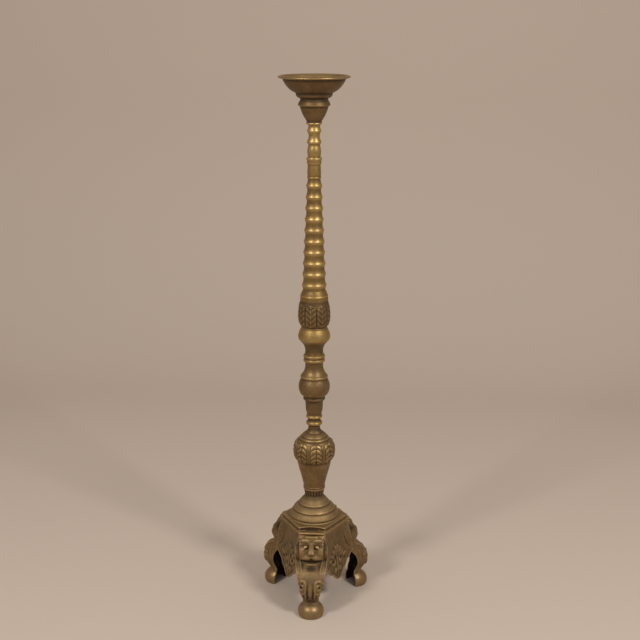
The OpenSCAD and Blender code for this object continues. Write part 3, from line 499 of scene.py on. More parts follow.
lay_tab(leg, 41.5, 68.5, 0, 10, SCREW_OUT)
leg_points, leg_faces = both_halves(leg)
leg_wear_and_light = wear_of(leg_points, leg_faces)
# Old polish and painted shade darken the eye sockets, the crease between the brows, under the nose,
# the mouth, the beard, the hollows beside the face and under the knee; painted light brightens the
# eyeballs and the muzzle, and the nose and the ball are rubbed. Each: place across and up, half width, half
# height, change of wear and painted light
RUBBED_AND_PAINTED_LIGHT = [(12, 147, 8.2, 6.2, -0.36), (12, 146.6, 3.8, 2.8, 0.84), (2, 154.5, 2.0, 3.4, -0.16)]
RUBBED_AND_PAINTED_LIGHT += [(0, 143, 4, 6, 0.02), (4.6, 130.4, 4, 1.2, -0.20), (0, 113, 12, 1.3, -0.30)]
RUBBED_AND_PAINTED_LIGHT += [(16.6, 115.6, 5, 1.6, -0.26), (17.4, 108, 3.4, 5, -0.20), (0, 104, 10.5, 2.8, -0.42)]
RUBBED_AND_PAINTED_LIGHT += [(9, 126, 7, 4.6, 0.08), (28.4, 141, 2.8, 19, -0.20), (34, 156, 5, 15, -0.30)]
RUBBED_AND_PAINTED_LIGHT += [(0, 92, 17, 10, -0.08), (34, 132, 5, 34, -0.10), (6.2, 56, 2.4, 14, -0.24)]
RUBBED_AND_PAINTED_LIGHT += [(0, 48, 13, 6, -0.14), (*EYE, 2.8, 2.8, -0.34), (0, 50, 40, 11, -0.10)]
RUBBED_AND_PAINTED_LIGHT += [(0, 12, 40, 14, 0.02), (0, 158, 14, 4, 0.08)]
out, across, up = leg_points.T
across = np.abs(across)
for place_y, place_z, half_y, half_z, change in RUBBED_AND_PAINTED_LIGHT:
    leg_wear_and_light += change * np.exp(-(((across - place_y) / half_y) ** 2) - ((up - place_z) / half_z) ** 2)
at = np.round((np.stack([out, across, up], 1) - leg.low) / LEG_STEP).astype(int)
at = np.clip(at, 0, np.array(leg_core.shape) - 1)
# painted shade: the casting's inside takes the near-black inside colour
leg_wear_and_light[leg_core[tuple(at.T)] < 1.2] = RAW_AND_SHADED_WEAR  # the casting's inside


def turned_to(points, degrees):
    """Points given outwards along +X, turned round the stem's axis."""
    a = math.radians(degrees)
    out, across, up = np.transpose(points)
    x, y = out * math.cos(a) - across * math.sin(a), out * math.sin(a) + across * math.cos(a)
    return np.stack([x, y, up], 1)


def set_round(name, node, turns, points, faces, wear):
    """The same casting on each of the stand's sides."""
    for side, degrees in turns.items():
        piece = new_object(name + side, turned_to(points, degrees), faces)
        paint_wear_and_light(piece, wear)
        fit(piece, cast_brass, node + side)


LEG_TURNS = {"front": -90, "right": 30, "left": 150}
set_round("lion_leg_", "leg_", LEG_TURNS, leg_points, leg_faces, leg_wear_and_light)

# ---- Aprons ----
# Three thin cast panels between the legs, with a plain upper part, scrolls and leaf sprays in
# relief, and a leafy lower edge that runs down to a pendant leaf. Tabs behind take two screws.

APRON_T, APRON_STEP = 3.0, 0.9
SEAM_TOP, SEAM_CROTCH, SEAM_GAP, CROTCH_Z = 66.0, 79.0, 0.3, 94.0
APRON_FACE, PENDANT_R, PENDANT_Z = 54.5, 64.0, 47.0
# lower edge: shares of the way across, and of the way up from the pendant's tip to the leg
LOWER = [(0, 0), (0.12, 0.04), (0.24, 0.16), (0.34, 0.30), (0.42, 0.36), (0.5, 0.38), (0.58, 0.52)]
LOWER += [(0.68, 0.66), (0.76, 0.70), (0.84, 0.80), (0.92, 0.93), (1, 1.02)]


def lower_edge(share):
    """Height of the apron's lower edge, at a share of the way across to the leg."""
    return PENDANT_Z + (CROTCH_Z - PENDANT_Z) * np.interp(share, *np.array(LOWER).T)


def apron_at(y, z):
    """Distance out of the apron's plain face, and its edge across, at y and z."""
    seat = np.maximum(z, CROTCH_Z)
    out = SEAM_TOP + (SEAM_CROTCH - SEAM_TOP) * (LEG_TOP - seat) / (LEG_TOP - CROTCH_Z)
    wide = leg_at(seat)[1] + SEAM_GAP
    edge_x, edge_y = out * 0.5 + wide * math.sin(math.pi / 3), out * math.sin(math.pi / 3) - wide * 0.5
    drop = np.clip((LEG_TOP - z) / (LEG_TOP - PENDANT_Z), 0, 1.05)
    middle = APRON_FACE + (PENDANT_R - APRON_FACE) * drop**1.6
    return middle + (edge_x - middle) * np.minimum(np.abs(y / edge_y), 1.1) ** 3, edge_y


def on_apron(line, lift):
    """Points on the apron's face from pairs of place across and height."""
    return [(float(apron_at(y, z)[0]) + lift, y, z) for y, z in bent(line, 4)]


def petal(foot, tip, wide, lift, thick):
    """A leaf lobe on the apron: an ellipsoid laid from foot to tip."""
    cy, cz = (foot[0] + tip[0]) / 2, (foot[1] + tip[1]) / 2
    long = math.dist(foot, tip) / 2
    lean = math.degrees(math.atan2(tip[1] - foot[1], tip[0] - foot[0]))
    return ball((float(apron_at(cy, cz)[0]) + lift, cy, cz), (thick, long, wide / 2), lean)


apron = Pattern((33, 0, 42), (84, 59, 169), APRON_STEP)
x, y, z = apron.points
face, edge = apron_at(y, z)
apron.shape(np.maximum(x - face, face - APRON_T - x))
apron.keep(lower_edge(np.abs(y / edge)) + 1.5 - z + 0 * x)
# rolled lower border, from the pendant's tip up to the leg
apron_half = float(apron_at(0, 100)[1])
border = [(share * apron_half, lower_edge(share) + 3.2) for share in np.linspace(0.02, 0.98, 17)]
apron.lay(tapered(on_apron(border, 0.0), 1.4, 1.9, 1.8, 1.6), 1.2)
# a chased line swings from under the cornice out to the leg, and leaves a plain scroll there
joint = [(26.5, 150), (28, 139), (31, 127), (36.5, 115), (44, 106.5), (51, 101)]
apron.take(tapered(on_apron(joint, 0.6), 0.8, 1.6, 1.8, 1.7, 1.2), 1.0)
# leaf spray in the middle, with dark hollows under it, and leaf lobes down to the pendant
SPRAY = [((1, 106), (5, 126), 11), ((7, 105), (16, 119), 11), ((11, 100), (25, 109), 10)]
SPRAY += [((20, 95), (34, 100), 10), ((6, 92), (17, 82), 12), ((4, 76), (12, 65), 11)]
for foot, tip, wide in SPRAY:
    apron.lay(petal(foot, tip, wide, -0.2, 2.8), 1.7)
    inner = [0.7 * a + 0.3 * b for a, b in zip(foot, tip)]
    apron.take(tapered(on_apron([inner, tip], 2.9), 0.5, 1.1), 1.0)
for across, high, wide in ((4, 99, 4.4), (15, 92.5, 4.6), (27, 88, 4.0)):
    apron.take(ball((float(apron_at(across, high)[0]) + 1.2, across, high), (2.9, wide, 3.6), 20), 1.4)
apron.lay(tapered(on_apron([(0, 106), (0, 88), (0, 66), (0, 51)], -0.6), 1.6, 2.6, 2.6, 1.2), 1.2)
apron.keep(y - edge + 0 * x)
apron.keep(z - LEG_TOP + 0 * (x + y))
apron.keep(face - APRON_T - x)
APRON_SCREW_OUT, APRON_SCREW_Y = 43, 22
lay_tab(apron, 36.5, 53, APRON_SCREW_Y, 6, APRON_SCREW_OUT)
apron_points, apron_faces = both_halves(apron)
# the aprons are rubbed less than the legs, and more unevenly
apron_wear_and_shade = 0.40 + 1.25 * (wear_of(apron_points, apron_faces) - PLAIN_WEAR)
out, across, up = apron_points.T
# painted shade: the apron's back takes the near-black inside colour
apron_wear_and_shade[out < apron_at(across, up)[0] - APRON_T + 0.8] = RAW_AND_SHADED_WEAR
APRON_TURNS = {"right": -30, "back": 90, "left": 210}
set_round("leafy_apron_", "apron_", APRON_TURNS, apron_points, apron_faces, apron_wear_and_shade)

# ---- Cornice ----
# One cast plate with three long moulded sides and three short ones. A half-round bar runs over
# each leg's brow, and the plate above it is cut back in an arch with a fluted riser.

CORNICE_TOP, PLATE_T, CORNICE_STEP = 181.0, 5.0, 0.8
CAVITY_SIDE, CAVITY_CORNER, WORN_CORNER = 50.0, 55.0, 1.6
ARCH_OUT, ARCH_R, ARCH_Z, ARCH_EDGE_Z, FLUTE = 111.0, 51.0, 172.6, 178.2, 4.0
BAR_OUT, BAR_Z, NOTCH = 72.8, 169.4, 3.2


def facing(x, y, degrees):
    """How far out and how far across a place is, seen from the side at so many degrees."""
    a = math.radians(degrees)
    return x * math.cos(a) + y * math.sin(a), y * math.cos(a) - x * math.sin(a)


cornice = Pattern((-76, -79, 163), (76, 70, 184), CORNICE_STEP)
x, y, z = cornice.points
turns = [facing(x, y, degrees) for degrees in LEG_TURNS.values()]
to_corner = np.maximum.reduce([out for out, _ in turns])
to_side = np.maximum.reduce([-out for out, _ in turns])
# up the mouldings: height, distance out of the long sides, and of the short ones
MOULDING = [(166, 55, 69), (167.6, 55.2, 70), (168.2, 57.6, 72), (169, 58.7, 73.2), (170.3, 59, 73.5)]
MOULDING += [(171.5, 58.7, 73.2), (172.3, 57.6, 72.2), (172.8, 55.6, 66), (174.5, 54.9, 66)]
MOULDING += [(176.6, 55.3, 66), (178, 56.6, 66), (179.6, 57, 66), (180.5, 56.6, 65.4), (184, 54, 63)]
heights, sides, corners = np.array(MOULDING, float).T
one, other = to_side - np.interp(z, heights, sides), to_corner - np.interp(z, heights, corners)
outline = (one + other + np.sqrt((one - other) ** 2 + WORN_CORNER**2)) / 2
cornice.shape(np.maximum(outline, z - CORNICE_TOP))
for out, across in turns:
    # the arch, with flutes in its riser under a plain edge
    gap = np.hypot(out - ARCH_OUT, across)
    around = np.arctan2(across, ARCH_OUT - out) * ARCH_R
    fluted = 0.9 * np.clip(np.cos(around * 2 * math.pi / FLUTE) + 0.25, 0, 1)
    riser = ARCH_R + 1.0 + fluted - (1.0 + fluted) * np.clip((z - ARCH_EDGE_Z) / 0.8, 0, 1)
    cornice.keep(np.where(out > 0, np.minimum(riser - gap, z - ARCH_Z), -9.0))
    # a few notches filed in the middle of the bar
    notch = np.maximum(np.abs(across) - 8, np.abs(z - BAR_Z) - 1.6)
    filed = BAR_OUT - out + 0.9 * (np.abs((across + NOTCH / 2) % NOTCH - NOTCH / 2) > 0.7)
    cornice.keep(np.where(out > 60, -np.maximum(notch, filed), -9.0))
cornice.keep(LEG_TOP - z + 0 * outline)
cavity = np.maximum(to_side - CAVITY_SIDE, to_corner - CAVITY_CORNER)
cornice.keep(-np.maximum(cavity, z - (CORNICE_TOP - PLATE_T)))
# bosses that take the screws, and the well for the rod
BOSS_R, SCREW_R, WELL_R = 6.5, 2.5, 22.0
bosses = [turned_to([(SCREW_OUT, 0, 0)], degrees)[0] for degrees in LEG_TURNS.values()]
apron_pair = [(APRON_SCREW_OUT, s * APRON_SCREW_Y, 0) for s in (-1, 1)]
for degrees in APRON_TURNS.values():
    bosses += list(turned_to(apron_pair, degrees))
for px, py, _ in bosses:
    boss = np.maximum(np.hypot(x - px, y - py) - BOSS_R, np.abs(z - 171.5) - 5.5)
    cornice.field = np.minimum(cornice.field, boss)
for px, py, _ in bosses:
    cornice.keep(-np.maximum(np.hypot(x - px, y - py) - SCREW_R, z - 174.5))
cornice.keep(WELL_R - np.hypot(x, y) + 0 * z)
cornice_points, cornice_faces = mesh_of(cornice.field, cornice.low, CORNICE_STEP)
cornice_wear_and_light = wear_of(cornice_points, cornice_faces)
px, py, pz = cornice_points.T
for degrees in LEG_TURNS.values():
    # dust and painted shade darken the arch's riser, the ledge before the bar is painted light as if lit
    # from above, and the bar is rubbed
    out, across = facing(px, py, degrees)
    behind = np.hypot(out - ARCH_OUT, across) - ARCH_R
    in_arch = (out > 0) & (np.abs(behind) < 2.5) & (pz > ARCH_Z + 0.3) & (pz < CORNICE_TOP - 1)
    cornice_wear_and_light -= 0.18 * in_arch
    # painted highlight: the ledge before the bar, as lit from above
    painted_lit_ledge = (out > 60.5) & (behind > 0.5) & (pz > 171.5) & (pz < ARCH_Z + 0.6)
    cornice_wear_and_light = np.where(painted_lit_ledge, np.maximum(cornice_wear_and_light, 0.66), cornice_wear_and_light)
    cornice_wear_and_light += 0.22 * ((out > 69) & (pz > 167.8) & (pz < ARCH_Z + 0.6))
piece = new_object("moulded_cornice", cornice_points, cornice_faces)
paint_wear_and_light(piece, cornice_wear_and_light)
fit(piece, cast_brass, "base_cornice")

# ---- Base screws, bridge, rod, nut and washer ----
# Plain steel hardware, out of sight from above: nine hexagon screws that pull the legs and
# aprons up to the cornice, and the long rod with its nut, washer and flat bridge.

dull_steel, tree, place = bare_material("dull zinc-plated steel")
# zinc goes grey in patches of 9 mm, with dirt of 2 mm in them
patches = add(tree, "ShaderNodeTexNoise", {"Vector": place, "Scale": 1000 / 9, "Detail": 4.0})
dirt = add(tree, "ShaderNodeTexNoise", {"Vector": place, "Scale": 1000 / 2, "Detail": 3.0})
zinc = add(tree, "ShaderNodeValToRGB", (patches,))
for end, position, code in ((0, 0.35, "#55524D"), (1, 0.7, "#94928E")):
    zinc.color_ramp.elements[end].position = position
    zinc.color_ramp.elements[end].color = linear(code)
rough = add(tree, "ShaderNodeMapRange", (dirt, 0.3, 0.7, 0.34, 0.58))
bump = add(tree, "ShaderNodeBump", {"Height": dirt, "Distance": 0.0001, "Strength": 0.4})
skin = {"Base Color": zinc, "Metallic": 0.9, "Roughness": rough, "Normal": bump}
add(tree, "ShaderNodeOutputMaterial", (add(tree, "ShaderNodeBsdfPrincipled", skin),))


def finish_solids(names, material):
    """Solids that stay as the CAD has them get their finish."""
    for name in names:
        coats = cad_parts[name].data.materials
        coats.clear()
        coats.append(material)


def new_tree(name, inputs):
    """A Geometry Nodes tree that takes a mesh and the named inputs, and gives a mesh."""
    tree = bpy.data.node_groups.new(name, "GeometryNodeTree")
    for label, kind in {"Geometry": "Geometry", **inputs}.items():
        tree.interface.new_socket(label, in_out="INPUT", socket_type="NodeSocket" + kind)
    tree.interface.new_socket("Geometry", in_out="OUTPUT", socket_type="NodeSocketGeometry")
    return tree, add(tree, "NodeGroupInput").outputs


def end_tree(tree, form, weld, material):
    """Makes a tree's copies real, welds their seams and gives them their material."""
    real = add(tree, "GeometryNodeRealizeInstances", (form,))
    welded = add(tree, "GeometryNodeMergeByDistance", {"Geometry": real, "Distance": weld})
    coated = add(tree, "GeometryNodeSetMaterial", {"Geometry": welded, "Material": material})
    add(tree, "NodeGroupOutput", (coated,))


def grow(thing, tree, sizes):
    """Runs a node tree on the object and keeps its result as a plain mesh."""
    modifier = thing.modifiers.new("grow", "NODES")
    modifier.node_group = tree
    for item in tree.interface.items_tree:
        if item.in_out == "INPUT" and item.name in sizes:
            modifier[item.identifier] = sizes[item.name]
    ready = thing.evaluated_get(bpy.context.evaluated_depsgraph_get())
    mesh = bpy.data.meshes.new_from_object(ready)
    thing.modifiers.remove(modifier)
    thing.data = mesh
    mesh.name = thing.name
    mesh.shade_smooth()


finish_solids(("base_bridge", "rod_washer", "rod_nut", "tie_rod"), dull_steel)

REPEAT = {"Times": "Int", "Weld distance": "Float", "Material": "Material"}
repeat, given = new_tree("Repeat round the stem's axis", REPEAT)
places = add(repeat, "GeometryNodePoints", (given["Times"],))
number = add(repeat, "GeometryNodeInputIndex")
part = add(repeat, SUM, (2 * math.pi, given["Times"]), operation="DIVIDE")
angle = add(repeat, SUM, (number, part), operation="MULTIPLY")
about_axis = add(repeat, "ShaderNodeCombineXYZ", (0.0, 0.0, angle))
spin = add(repeat, "FunctionNodeEulerToRotation", (about_axis,))
wired = {"Points": places, "Instance": given["Geometry"], "Rotation": spin}
copies = add(repeat, "GeometryNodeInstanceOnPoints", wired)
end_tree(repeat, copies, given["Weld distance"], given["Material"])

HEAD_H, HEAD_R, SHANK_TOP, THREAD, SCREW_SIDES = 3.5, 4.75, 174.0, 0.3, 24
HEAD_Z = LEG_TOP - TAB_T - HEAD_H
HEAD_TOP = HEAD_Z + HEAD_H


def screw_at(px, py):
    """One hexagon screw, head down, with its chamfer and thread."""
    rows = [(0.01, HEAD_Z), (HEAD_R * 0.8, HEAD_Z), (HEAD_R, HEAD_Z + 0.6), (HEAD_R, HEAD_TOP)]
    rows += [(SCREW_R, HEAD_TOP)]
    rows += [(SCREW_R - THREAD * (k % 2), h) for k, h in enumerate(np.arange(HEAD_TOP + 1, SHANK_TOP, 0.4))]
    rows += [(SCREW_R * 0.8, SHANK_TOP), (0.01, SHANK_TOP)]
    points, faces = [], []
    for r, h in rows:
        for k in range(SCREW_SIDES):
            a = 2 * math.pi * k / SCREW_SIDES
            flat = HEAD_R * math.cos(math.pi / 6) / math.cos((a % (math.pi / 3)) - math.pi / 6)
            reach = min(r, flat) if h <= HEAD_TOP and r > SCREW_R else r
            points.append((px + reach * math.cos(a), py + reach * math.sin(a), h))
    for i in range(len(rows) - 1):
        for k in range(SCREW_SIDES):
            here, there = i * SCREW_SIDES, (i + 1) * SCREW_SIDES
            n = (k + 1) % SCREW_SIDES
            faces.append((here + k, here + n, there + n, there + k))
    return points, faces


def screws(name, node, places):
    """The screws of one side, repeated on all three."""
    points, faces = [], []
    for px, py in places:
        more, joined = screw_at(px, py)
        faces += [[i + len(points) for i in f] for f in joined]
        points += more
    thing = new_object(name, points, faces)
    grow(thing, repeat, {"Times": 3, "Weld distance": 0.00005, "Material": dull_steel})
    fit(thing, dull_steel, node)


screws("leg_screw_heads", "leg_screws", [(0, -SCREW_OUT)])
screws("apron_screw_heads", "apron_screws", [(s * APRON_SCREW_Y, APRON_SCREW_OUT) for s in (-1, 1)])

# ---- Base dome and the stem's turned castings ----
# Each is a hollow casting turned true on the lathe. They stand on one another, each with a
# spigot that fits the next, and the tie rod clamps them all.

SPIGOT_R, SPIGOT_H, BORE_R, RECESS_R, RECESS_H = 8.5, 5.0, 5.4, 8.65, 5.15
WEDGES = 8


def rounded(line, spacing):
    """An outline with even steps, its sharp corners a little worn."""
    line = np.array(line, float)
    walked = np.concatenate([[0], np.cumsum(np.linalg.norm(np.diff(line, axis=0), axis=1))])
    at = np.linspace(0, walked[-1], int(walked[-1] / spacing) + 2)
    line = np.stack([np.interp(at, walked, line[:, k]) for k in (0, 1)], 1)
    for _ in range(2):
        line[1:-1] = (line[:-2] + 2 * line[1:-1] + line[2:]) / 4
    return line


def inside_of(height):
    """From the top of the outside, over the spigot, down the bore and the recess."""
    top = height + SPIGOT_H
    line = [(SPIGOT_R, height), (SPIGOT_R, top), (BORE_R, top), (BORE_R, RECESS_H)]
    return line + [(RECESS_R, RECESS_H), (RECESS_R, 0)]


CREST_WEAR, CREST_REACH, SOFT_ROUNDS = 0.28, 0.6, 24


def turn_piece(
    node, name, outside, material, inside=None, relief=None, wedges=WEDGES,
    columns=18, spacing=0.8, phase=0.0, worn=((0, 0),), worn_inside=0.3,
):
    """A turned casting at its node's seat. One wedge is made and repeated round the axis.
    relief(u, z, r) lifts the outside; u is the distance from the middle of a wedge, in
    millimetres. worn pairs a height with how much more the brass is rubbed there."""
    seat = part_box(node)[0].z * 1000
    outer = rounded(outside, spacing)
    rows = len(outer)
    line = np.vstack([outer, inside_of(outside[-1][1]) if inside is None else inside])
    angles = np.linspace(-math.pi / wedges, math.pi / wedges, columns + 1)
    tangent = np.gradient(outer, axis=0)
    normal = np.stack([tangent[:, 1], -tangent[:, 0]], 1)
    normal /= np.linalg.norm(normal, axis=1)[:, None]
    normal = normal[:, None, :]
    grid = np.repeat(line[:, None, :], columns + 1, axis=1)
    if relief is not None:
        lift = relief(angles[None, :] * outer[:, :1], outer[:, 1:], outer[:, :1])
        grid[:rows] += lift[:, :, None] * normal
    soft = grid[:rows].copy()
    for _ in range(SOFT_ROUNDS):
        soft[1:-1] = (soft[:-2] + 2 * soft[1:-1] + soft[2:]) / 4
        if relief is not None:
            wrap = np.concatenate([soft[:, 1:2], soft, soft[:, -2:-1]], axis=1)
            soft = (wrap[:, :-2] + 2 * wrap[:, 1:-1] + wrap[:, 2:]) / 4
    proud = ((grid[:rows] - soft) * normal).sum(2)
    wear = np.full(grid.shape[:2], worn_inside)
    rubbed = np.interp(outer[:, 1:], *np.array(worn, float).T)
    wear[:rows] = np.clip(PLAIN_WEAR + rubbed + CREST_WEAR * np.tanh(proud / CREST_REACH), 0, 1)
    r, h = grid[:, :, 0], grid[:, :, 1]
    a = angles[None, :] + math.radians(phase)
    points = np.stack([r * np.cos(a), r * np.sin(a), h + seat], 2).reshape(-1, 3)
    n, m = len(line), columns + 1
    i, j = np.meshgrid(np.arange(n), np.arange(columns), indexing="ij")
    below, above = i * m + j, ((i + 1) % n) * m + j
    faces = np.stack([below, below + 1, above + 1, above], 2).reshape(-1, 4)
    thing = new_object(name, points, faces)
    paint_wear_and_light(thing, wear.ravel())
    grow(thing, repeat, {"Times": wedges, "Weld distance": 0.00002, "Material": material})
    fit(thing, material, node)


golden = ("#4E3B20", "#967A45", "#CFB47A")
brown = ("#3A2B1C", "#745C3B", "#B99D6A")
olive = ("#33281A", "#6C5536", "#AA8F62")
golden_brass = aged_brass("aged turned brass, golden", *golden, (0.52, 0.36), turned=True)
brown_brass = aged_brass("aged turned brass, brown", *brown, (0.56, 0.38), turned=True)
olive_brass = aged_brass("aged turned brass, dark olive", *olive, (0.56, 0.40), turned=True)

# stepped dome on the cornice: three rings with a cut line under each
dome = [(54, 0), (54, 0.9), (52.8, 2), (50.8, 3), (50.2, 3.8), (51.6, 4.6)]
dome += bent([(51.5, 6), (50.4, 9), (47.7, 13.4), (44.6, 16.6)], 4)
dome += [(43.4, 17.2), (43.2, 18), (44.6, 18.8)]
dome += bent([(44.2, 19.6), (41.8, 22.6), (37.9, 26.2), (33.6, 28.8)], 4)
dome += [(32, 29.2), (31.8, 30), (33.2, 30.8)]
dome += bent([(32.6, 31.6), (30.2, 34.8), (26.7, 39.2), (23.5, 42.4)], 4)
dome += [(22.3, 43.6), (21.4, 44.6), (21, 46)]
dome_in = [(SPIGOT_R, 46), (SPIGOT_R, 51), (BORE_R, 51), (BORE_R, 43), (19.5, 41.5), (30, 27), (43, 13)]
dome_in += [(51, 0)]
turn_piece("base_dome", "stepped_dome", dome, cast_brass, inside=dome_in, columns=24)


# collar with short flutes under a scalloped rim
FLUTES, FLUTE_DEPTH, FLUTE_FOOT, FLUTE_TOP = 20, 1.2, 2.6, 17.4


def flutes(u, z, r):
    """A hollow in the middle of each wedge, with a rounded top."""
    share = np.abs(u) / (math.pi * r / FLUTES)
    top = FLUTE_TOP - 1.8 * share
    ends = np.clip((z - FLUTE_FOOT) / 2, 0, 1) * np.clip((top - z) / 1.2, 0, 1)
    return -FLUTE_DEPTH * np.clip(1 - (share / 0.8) ** 2, 0, 1) * ends


collar = [(21, 0), (20.8, 0.6), (19.7, 1.8), (19.6, 4), (20.3, 8), (21.3, 13), (22, 16)]
collar += [(22.9, 17.4), (23.1, 18.8), (22.7, 20.2), (22.4, 20.8), (22.9, 21.8), (23.1, 23.2)]
collar += [(22.7, 24.3), (21.9, 24.5)]
turn_piece(
    "fluted_collar", "fluted_collar_cast", collar, brown_brass, relief=flutes, wedges=FLUTES, columns=12,
    spacing=0.6, phase=-90,
    worn=((0, 0), (2, -0.04), (4, -0.1), (15, -0.1), (17.4, 0.2), (19.6, 0.18), (21, -0.06), (24, -0.06)),
)


# vase: a plain cone, a bulb with eight acanthus leaves, and a smooth shoulder with two cut lines
LEAF_FOOT, LEAF_TOP = 60.0, 102.6
LOBE, LOBE_LIFT, RIB_LIFT, RIB_AT, POCKET = 9.4, 1.6, 1.3, 1.6, 2.2


def acanthus(u, z, r):
    """Two ribs in the middle of the wedge, and half a leaf on each side of them, with a drilled
    pocket where two leaves meet at the foot."""
    inward = np.clip(math.pi * r / WEDGES - np.abs(u), 0, None)  # from the middle line of the leaf
    top = LEAF_TOP - 0.05 * (inward - 5) ** 2
    on = np.clip((z - LEAF_FOOT) / 1.4, 0, 1) * np.clip((top - z) / 2.4, 0, 1)
    fall = z + 0.1 * inward + 0.036 * inward**2
    lobes = np.abs(np.sin(math.pi * (fall - 0.2) / LOBE)) ** 0.7
    lobes *= np.clip(inward / 2.4, 0, 1) ** 0.5 * np.clip((np.abs(u) - 3.4) / 2.6, 0, 1) ** 0.6
    ribs = np.exp(-((np.abs(u) - RIB_AT) ** 2)) * np.clip((LEAF_TOP - 2 - z) / 5, 0, 1)
    low = LEAF_FOOT + 8 - z
    pocket = np.clip(1 - inward / np.clip(0.6 * low, 0.3, 5), 0, 1) * (low > 0)
    return on * (0.1 + LOBE_LIFT * lobes + RIB_LIFT * ribs - POCKET * pocket)


vase = bent([(21.9, 0), (22.6, 2), (24, 8), (27.3, 21.7), (31.1, 35.4), (34.5, 49), (36, 57)], 3)
vase += bent([(37, 59.4), (39.6, 63.4), (41.8, 69.6), (42.6, 77), (42.4, 85), (40.9, 92), (38, 98)], 4)
vase += [(34.6, 102.6), (32.4, 104), (31, 104.4)]
vase += bent([(31.4, 105.6), (30.6, 107.6), (28.4, 109.4)], 3) + [(26.6, 110.4), (26.4, 111)]
vase += bent([(26.6, 112), (23.6, 114.8), (20.4, 117.4), (18.6, 118.4)], 3)
vase += [(17, 118.9), (17.2, 120)] + bent([(16.2, 121.2), (13.8, 123.8), (12.4, 127), (12.1, 132.5)], 3)
turn_piece(
    "vase", "acanthus_vase", vase, brown_brass, relief=acanthus, columns=36, phase=-102.5,
    worn=((0, 0.1), (52, 0.08), (60, 0.03), (90, 0.05), (104, 0.1), (116, 0.04), (132, 0)),
)

# neck with a fat and a thin bead
neck = bent([(12.1, 0), (12.6, 1.6), (15.6, 3.6), (17, 6.7), (16.2, 9.6), (13.6, 12.2), (12.8, 14.5)], 4)
neck += [(12.8, 17), (14.6, 17.8)] + bent([(16.2, 18.8), (17.1, 21.2), (16.4, 23.4), (15.2, 24.4)], 3)
neck += [(15, 25.5)]
turn_piece(
    "neck_beads", "beaded_neck", neck, golden_brass, spacing=0.5,
    worn=((0, -0.2), (4, -0.04), (10, -0.04), (14, -0.2), (18, -0.1), (21, 0.02), (25, -0.1)),
)

# cup that carries the ball knop
cup = bent([(15, 0), (15.4, 3), (17.3, 10), (18, 18), (18.2, 25), (18.6, 29.4)], 4)
cup += [(19.8, 31.6), (21, 32.4), (22.6, 33.6), (23.1, 35.4), (22.6, 37.6), (21.4, 38.6), (21.4, 40)]
turn_piece(
    "lower_cup", "turned_cup", cup, brown_brass, spacing=0.5,
    worn=((0, 0), (30, 0), (33, -0.14), (37, -0.14), (40, -0.06)),
)

# ball knop
ball_line = [(21.4, 0), (22, 0.8)]
ball_line += bent(
    [(24.4, 2.2), (28.4, 6.4), (31.2, 12.8), (32.3, 19), (32.3, 25), (30.9, 31.4), (28.2, 37.4)]
)
ball_line += [(27, 38.6), (26.8, 40)]
turn_piece("ball_knop", "ball_knop_turned", ball_line, brown_brass)

# flared cap
cap = [(26.9, 0), (27.2, 0.8), (28.5, 1.8), (28.6, 4), (27.6, 5.6)]
cap += bent([(26.2, 6.8), (23.7, 10.2), (20.6, 16.3), (18.8, 23), (18.4, 29), (18.8, 34)], 4)
turn_piece(
    "flared_cap", "flared_cap_turned", cap, brown_brass, spacing=0.6,
    worn=((0, 0.04), (5, 0.1), (14, 0.16), (24, 0.06), (34, 0.04)),
)

# double ring
reel = [(19.1, 0), (19.1, 0.8)] + bent([(20.2, 1), (22, 2.6), (22.4, 4.6), (21.8, 6.8), (20.2, 8.4)], 3)
reel += [(19.8, 8.9)] + bent([(20.2, 9.4), (21.8, 10.8), (22.3, 13.2), (21.8, 15.4), (20, 17)], 3)
reel += [(19.1, 17.4), (19.1, 18.5)]
turn_piece("ring_reel", "double_ring", reel, golden_brass, spacing=0.5, worn=((0, -0.06),))

# mushroom knop
knop = bent([(19.1, 0), (18.5, 4), (18.4, 8), (19.6, 14), (22.6, 20.4), (27.6, 26.4), (31, 30.2)], 4)
knop += bent([(31.8, 31.4), (33, 35.4), (32.9, 39.6), (31.2, 46), (28.4, 52.6)], 4)
knop += [(27, 54.8), (26.5, 55.8), (27, 56.6), (26.6, 57.5)]
turn_piece(
    "mushroom_knop", "mushroom_knop_turned", knop, golden_brass,
    worn=((0, -0.16), (20, -0.16), (30, -0.04), (40, 0.02), (54, 0.02)),
)


# sleeve of eight overlapping leaves with chevron veins and a scalloped top
SLEEVE_LEAF_FOOT, SLEEVE_LEAF_TOP, LEAFLET = 3, 50.6, 10.4


def sleeve_leaves(u, z, r):
    """One leaf with its midrib in the middle of the wedge, and leaflets that rise outwards."""
    share = np.abs(u) / (math.pi * r / WEDGES)
    top = SLEEVE_LEAF_TOP - 4.0 * share
    on = np.clip((z - SLEEVE_LEAF_FOOT) / 2, 0, 1) * np.clip((top - z) / 1.2, 0, 1)
    leaflets = np.abs(np.sin(math.pi * (z - 0.85 * np.abs(u) + 1) / LEAFLET)) ** 0.8
    leaflets *= np.clip((0.92 - share) / 0.14, 0, 1) * np.clip((top - 3 - z) / 2, 0, 1)
    rib = 0.6 * np.exp(-(u**2) / 1.2)
    edge_line = 0.7 * np.exp(-(((z - top + 1.5) / 0.9) ** 2))
    between = -0.45 * np.exp(-((share - 1) ** 2) / 0.003)
    return on * (0.3 + leaflets + rib + edge_line + between)


sleeve = [(25.8, 0), (26.6, 1)]
sleeve += bent([(27.4, 2.6), (28.9, 6), (30.5, 11), (31.7, 18), (31.8, 27), (31, 37), (30, 46)], 4)
sleeve += [(29.6, 50), (29, 52), (28.6, 54), (28.6, 56)]
turn_piece(
    "leaf_sleeve", "leaf_sleeve_cast", sleeve, brown_brass, relief=sleeve_leaves, columns=32, spacing=0.7,
    phase=-99.6, worn=((0, -0.04),),
)

# ---- Ringed shaft ----
# The longest casting: a shoulder, then ten rings that shrink as they climb. Each ring is a
# narrow rounded crest with a small sharp lip below it and a wide cove to the next one.

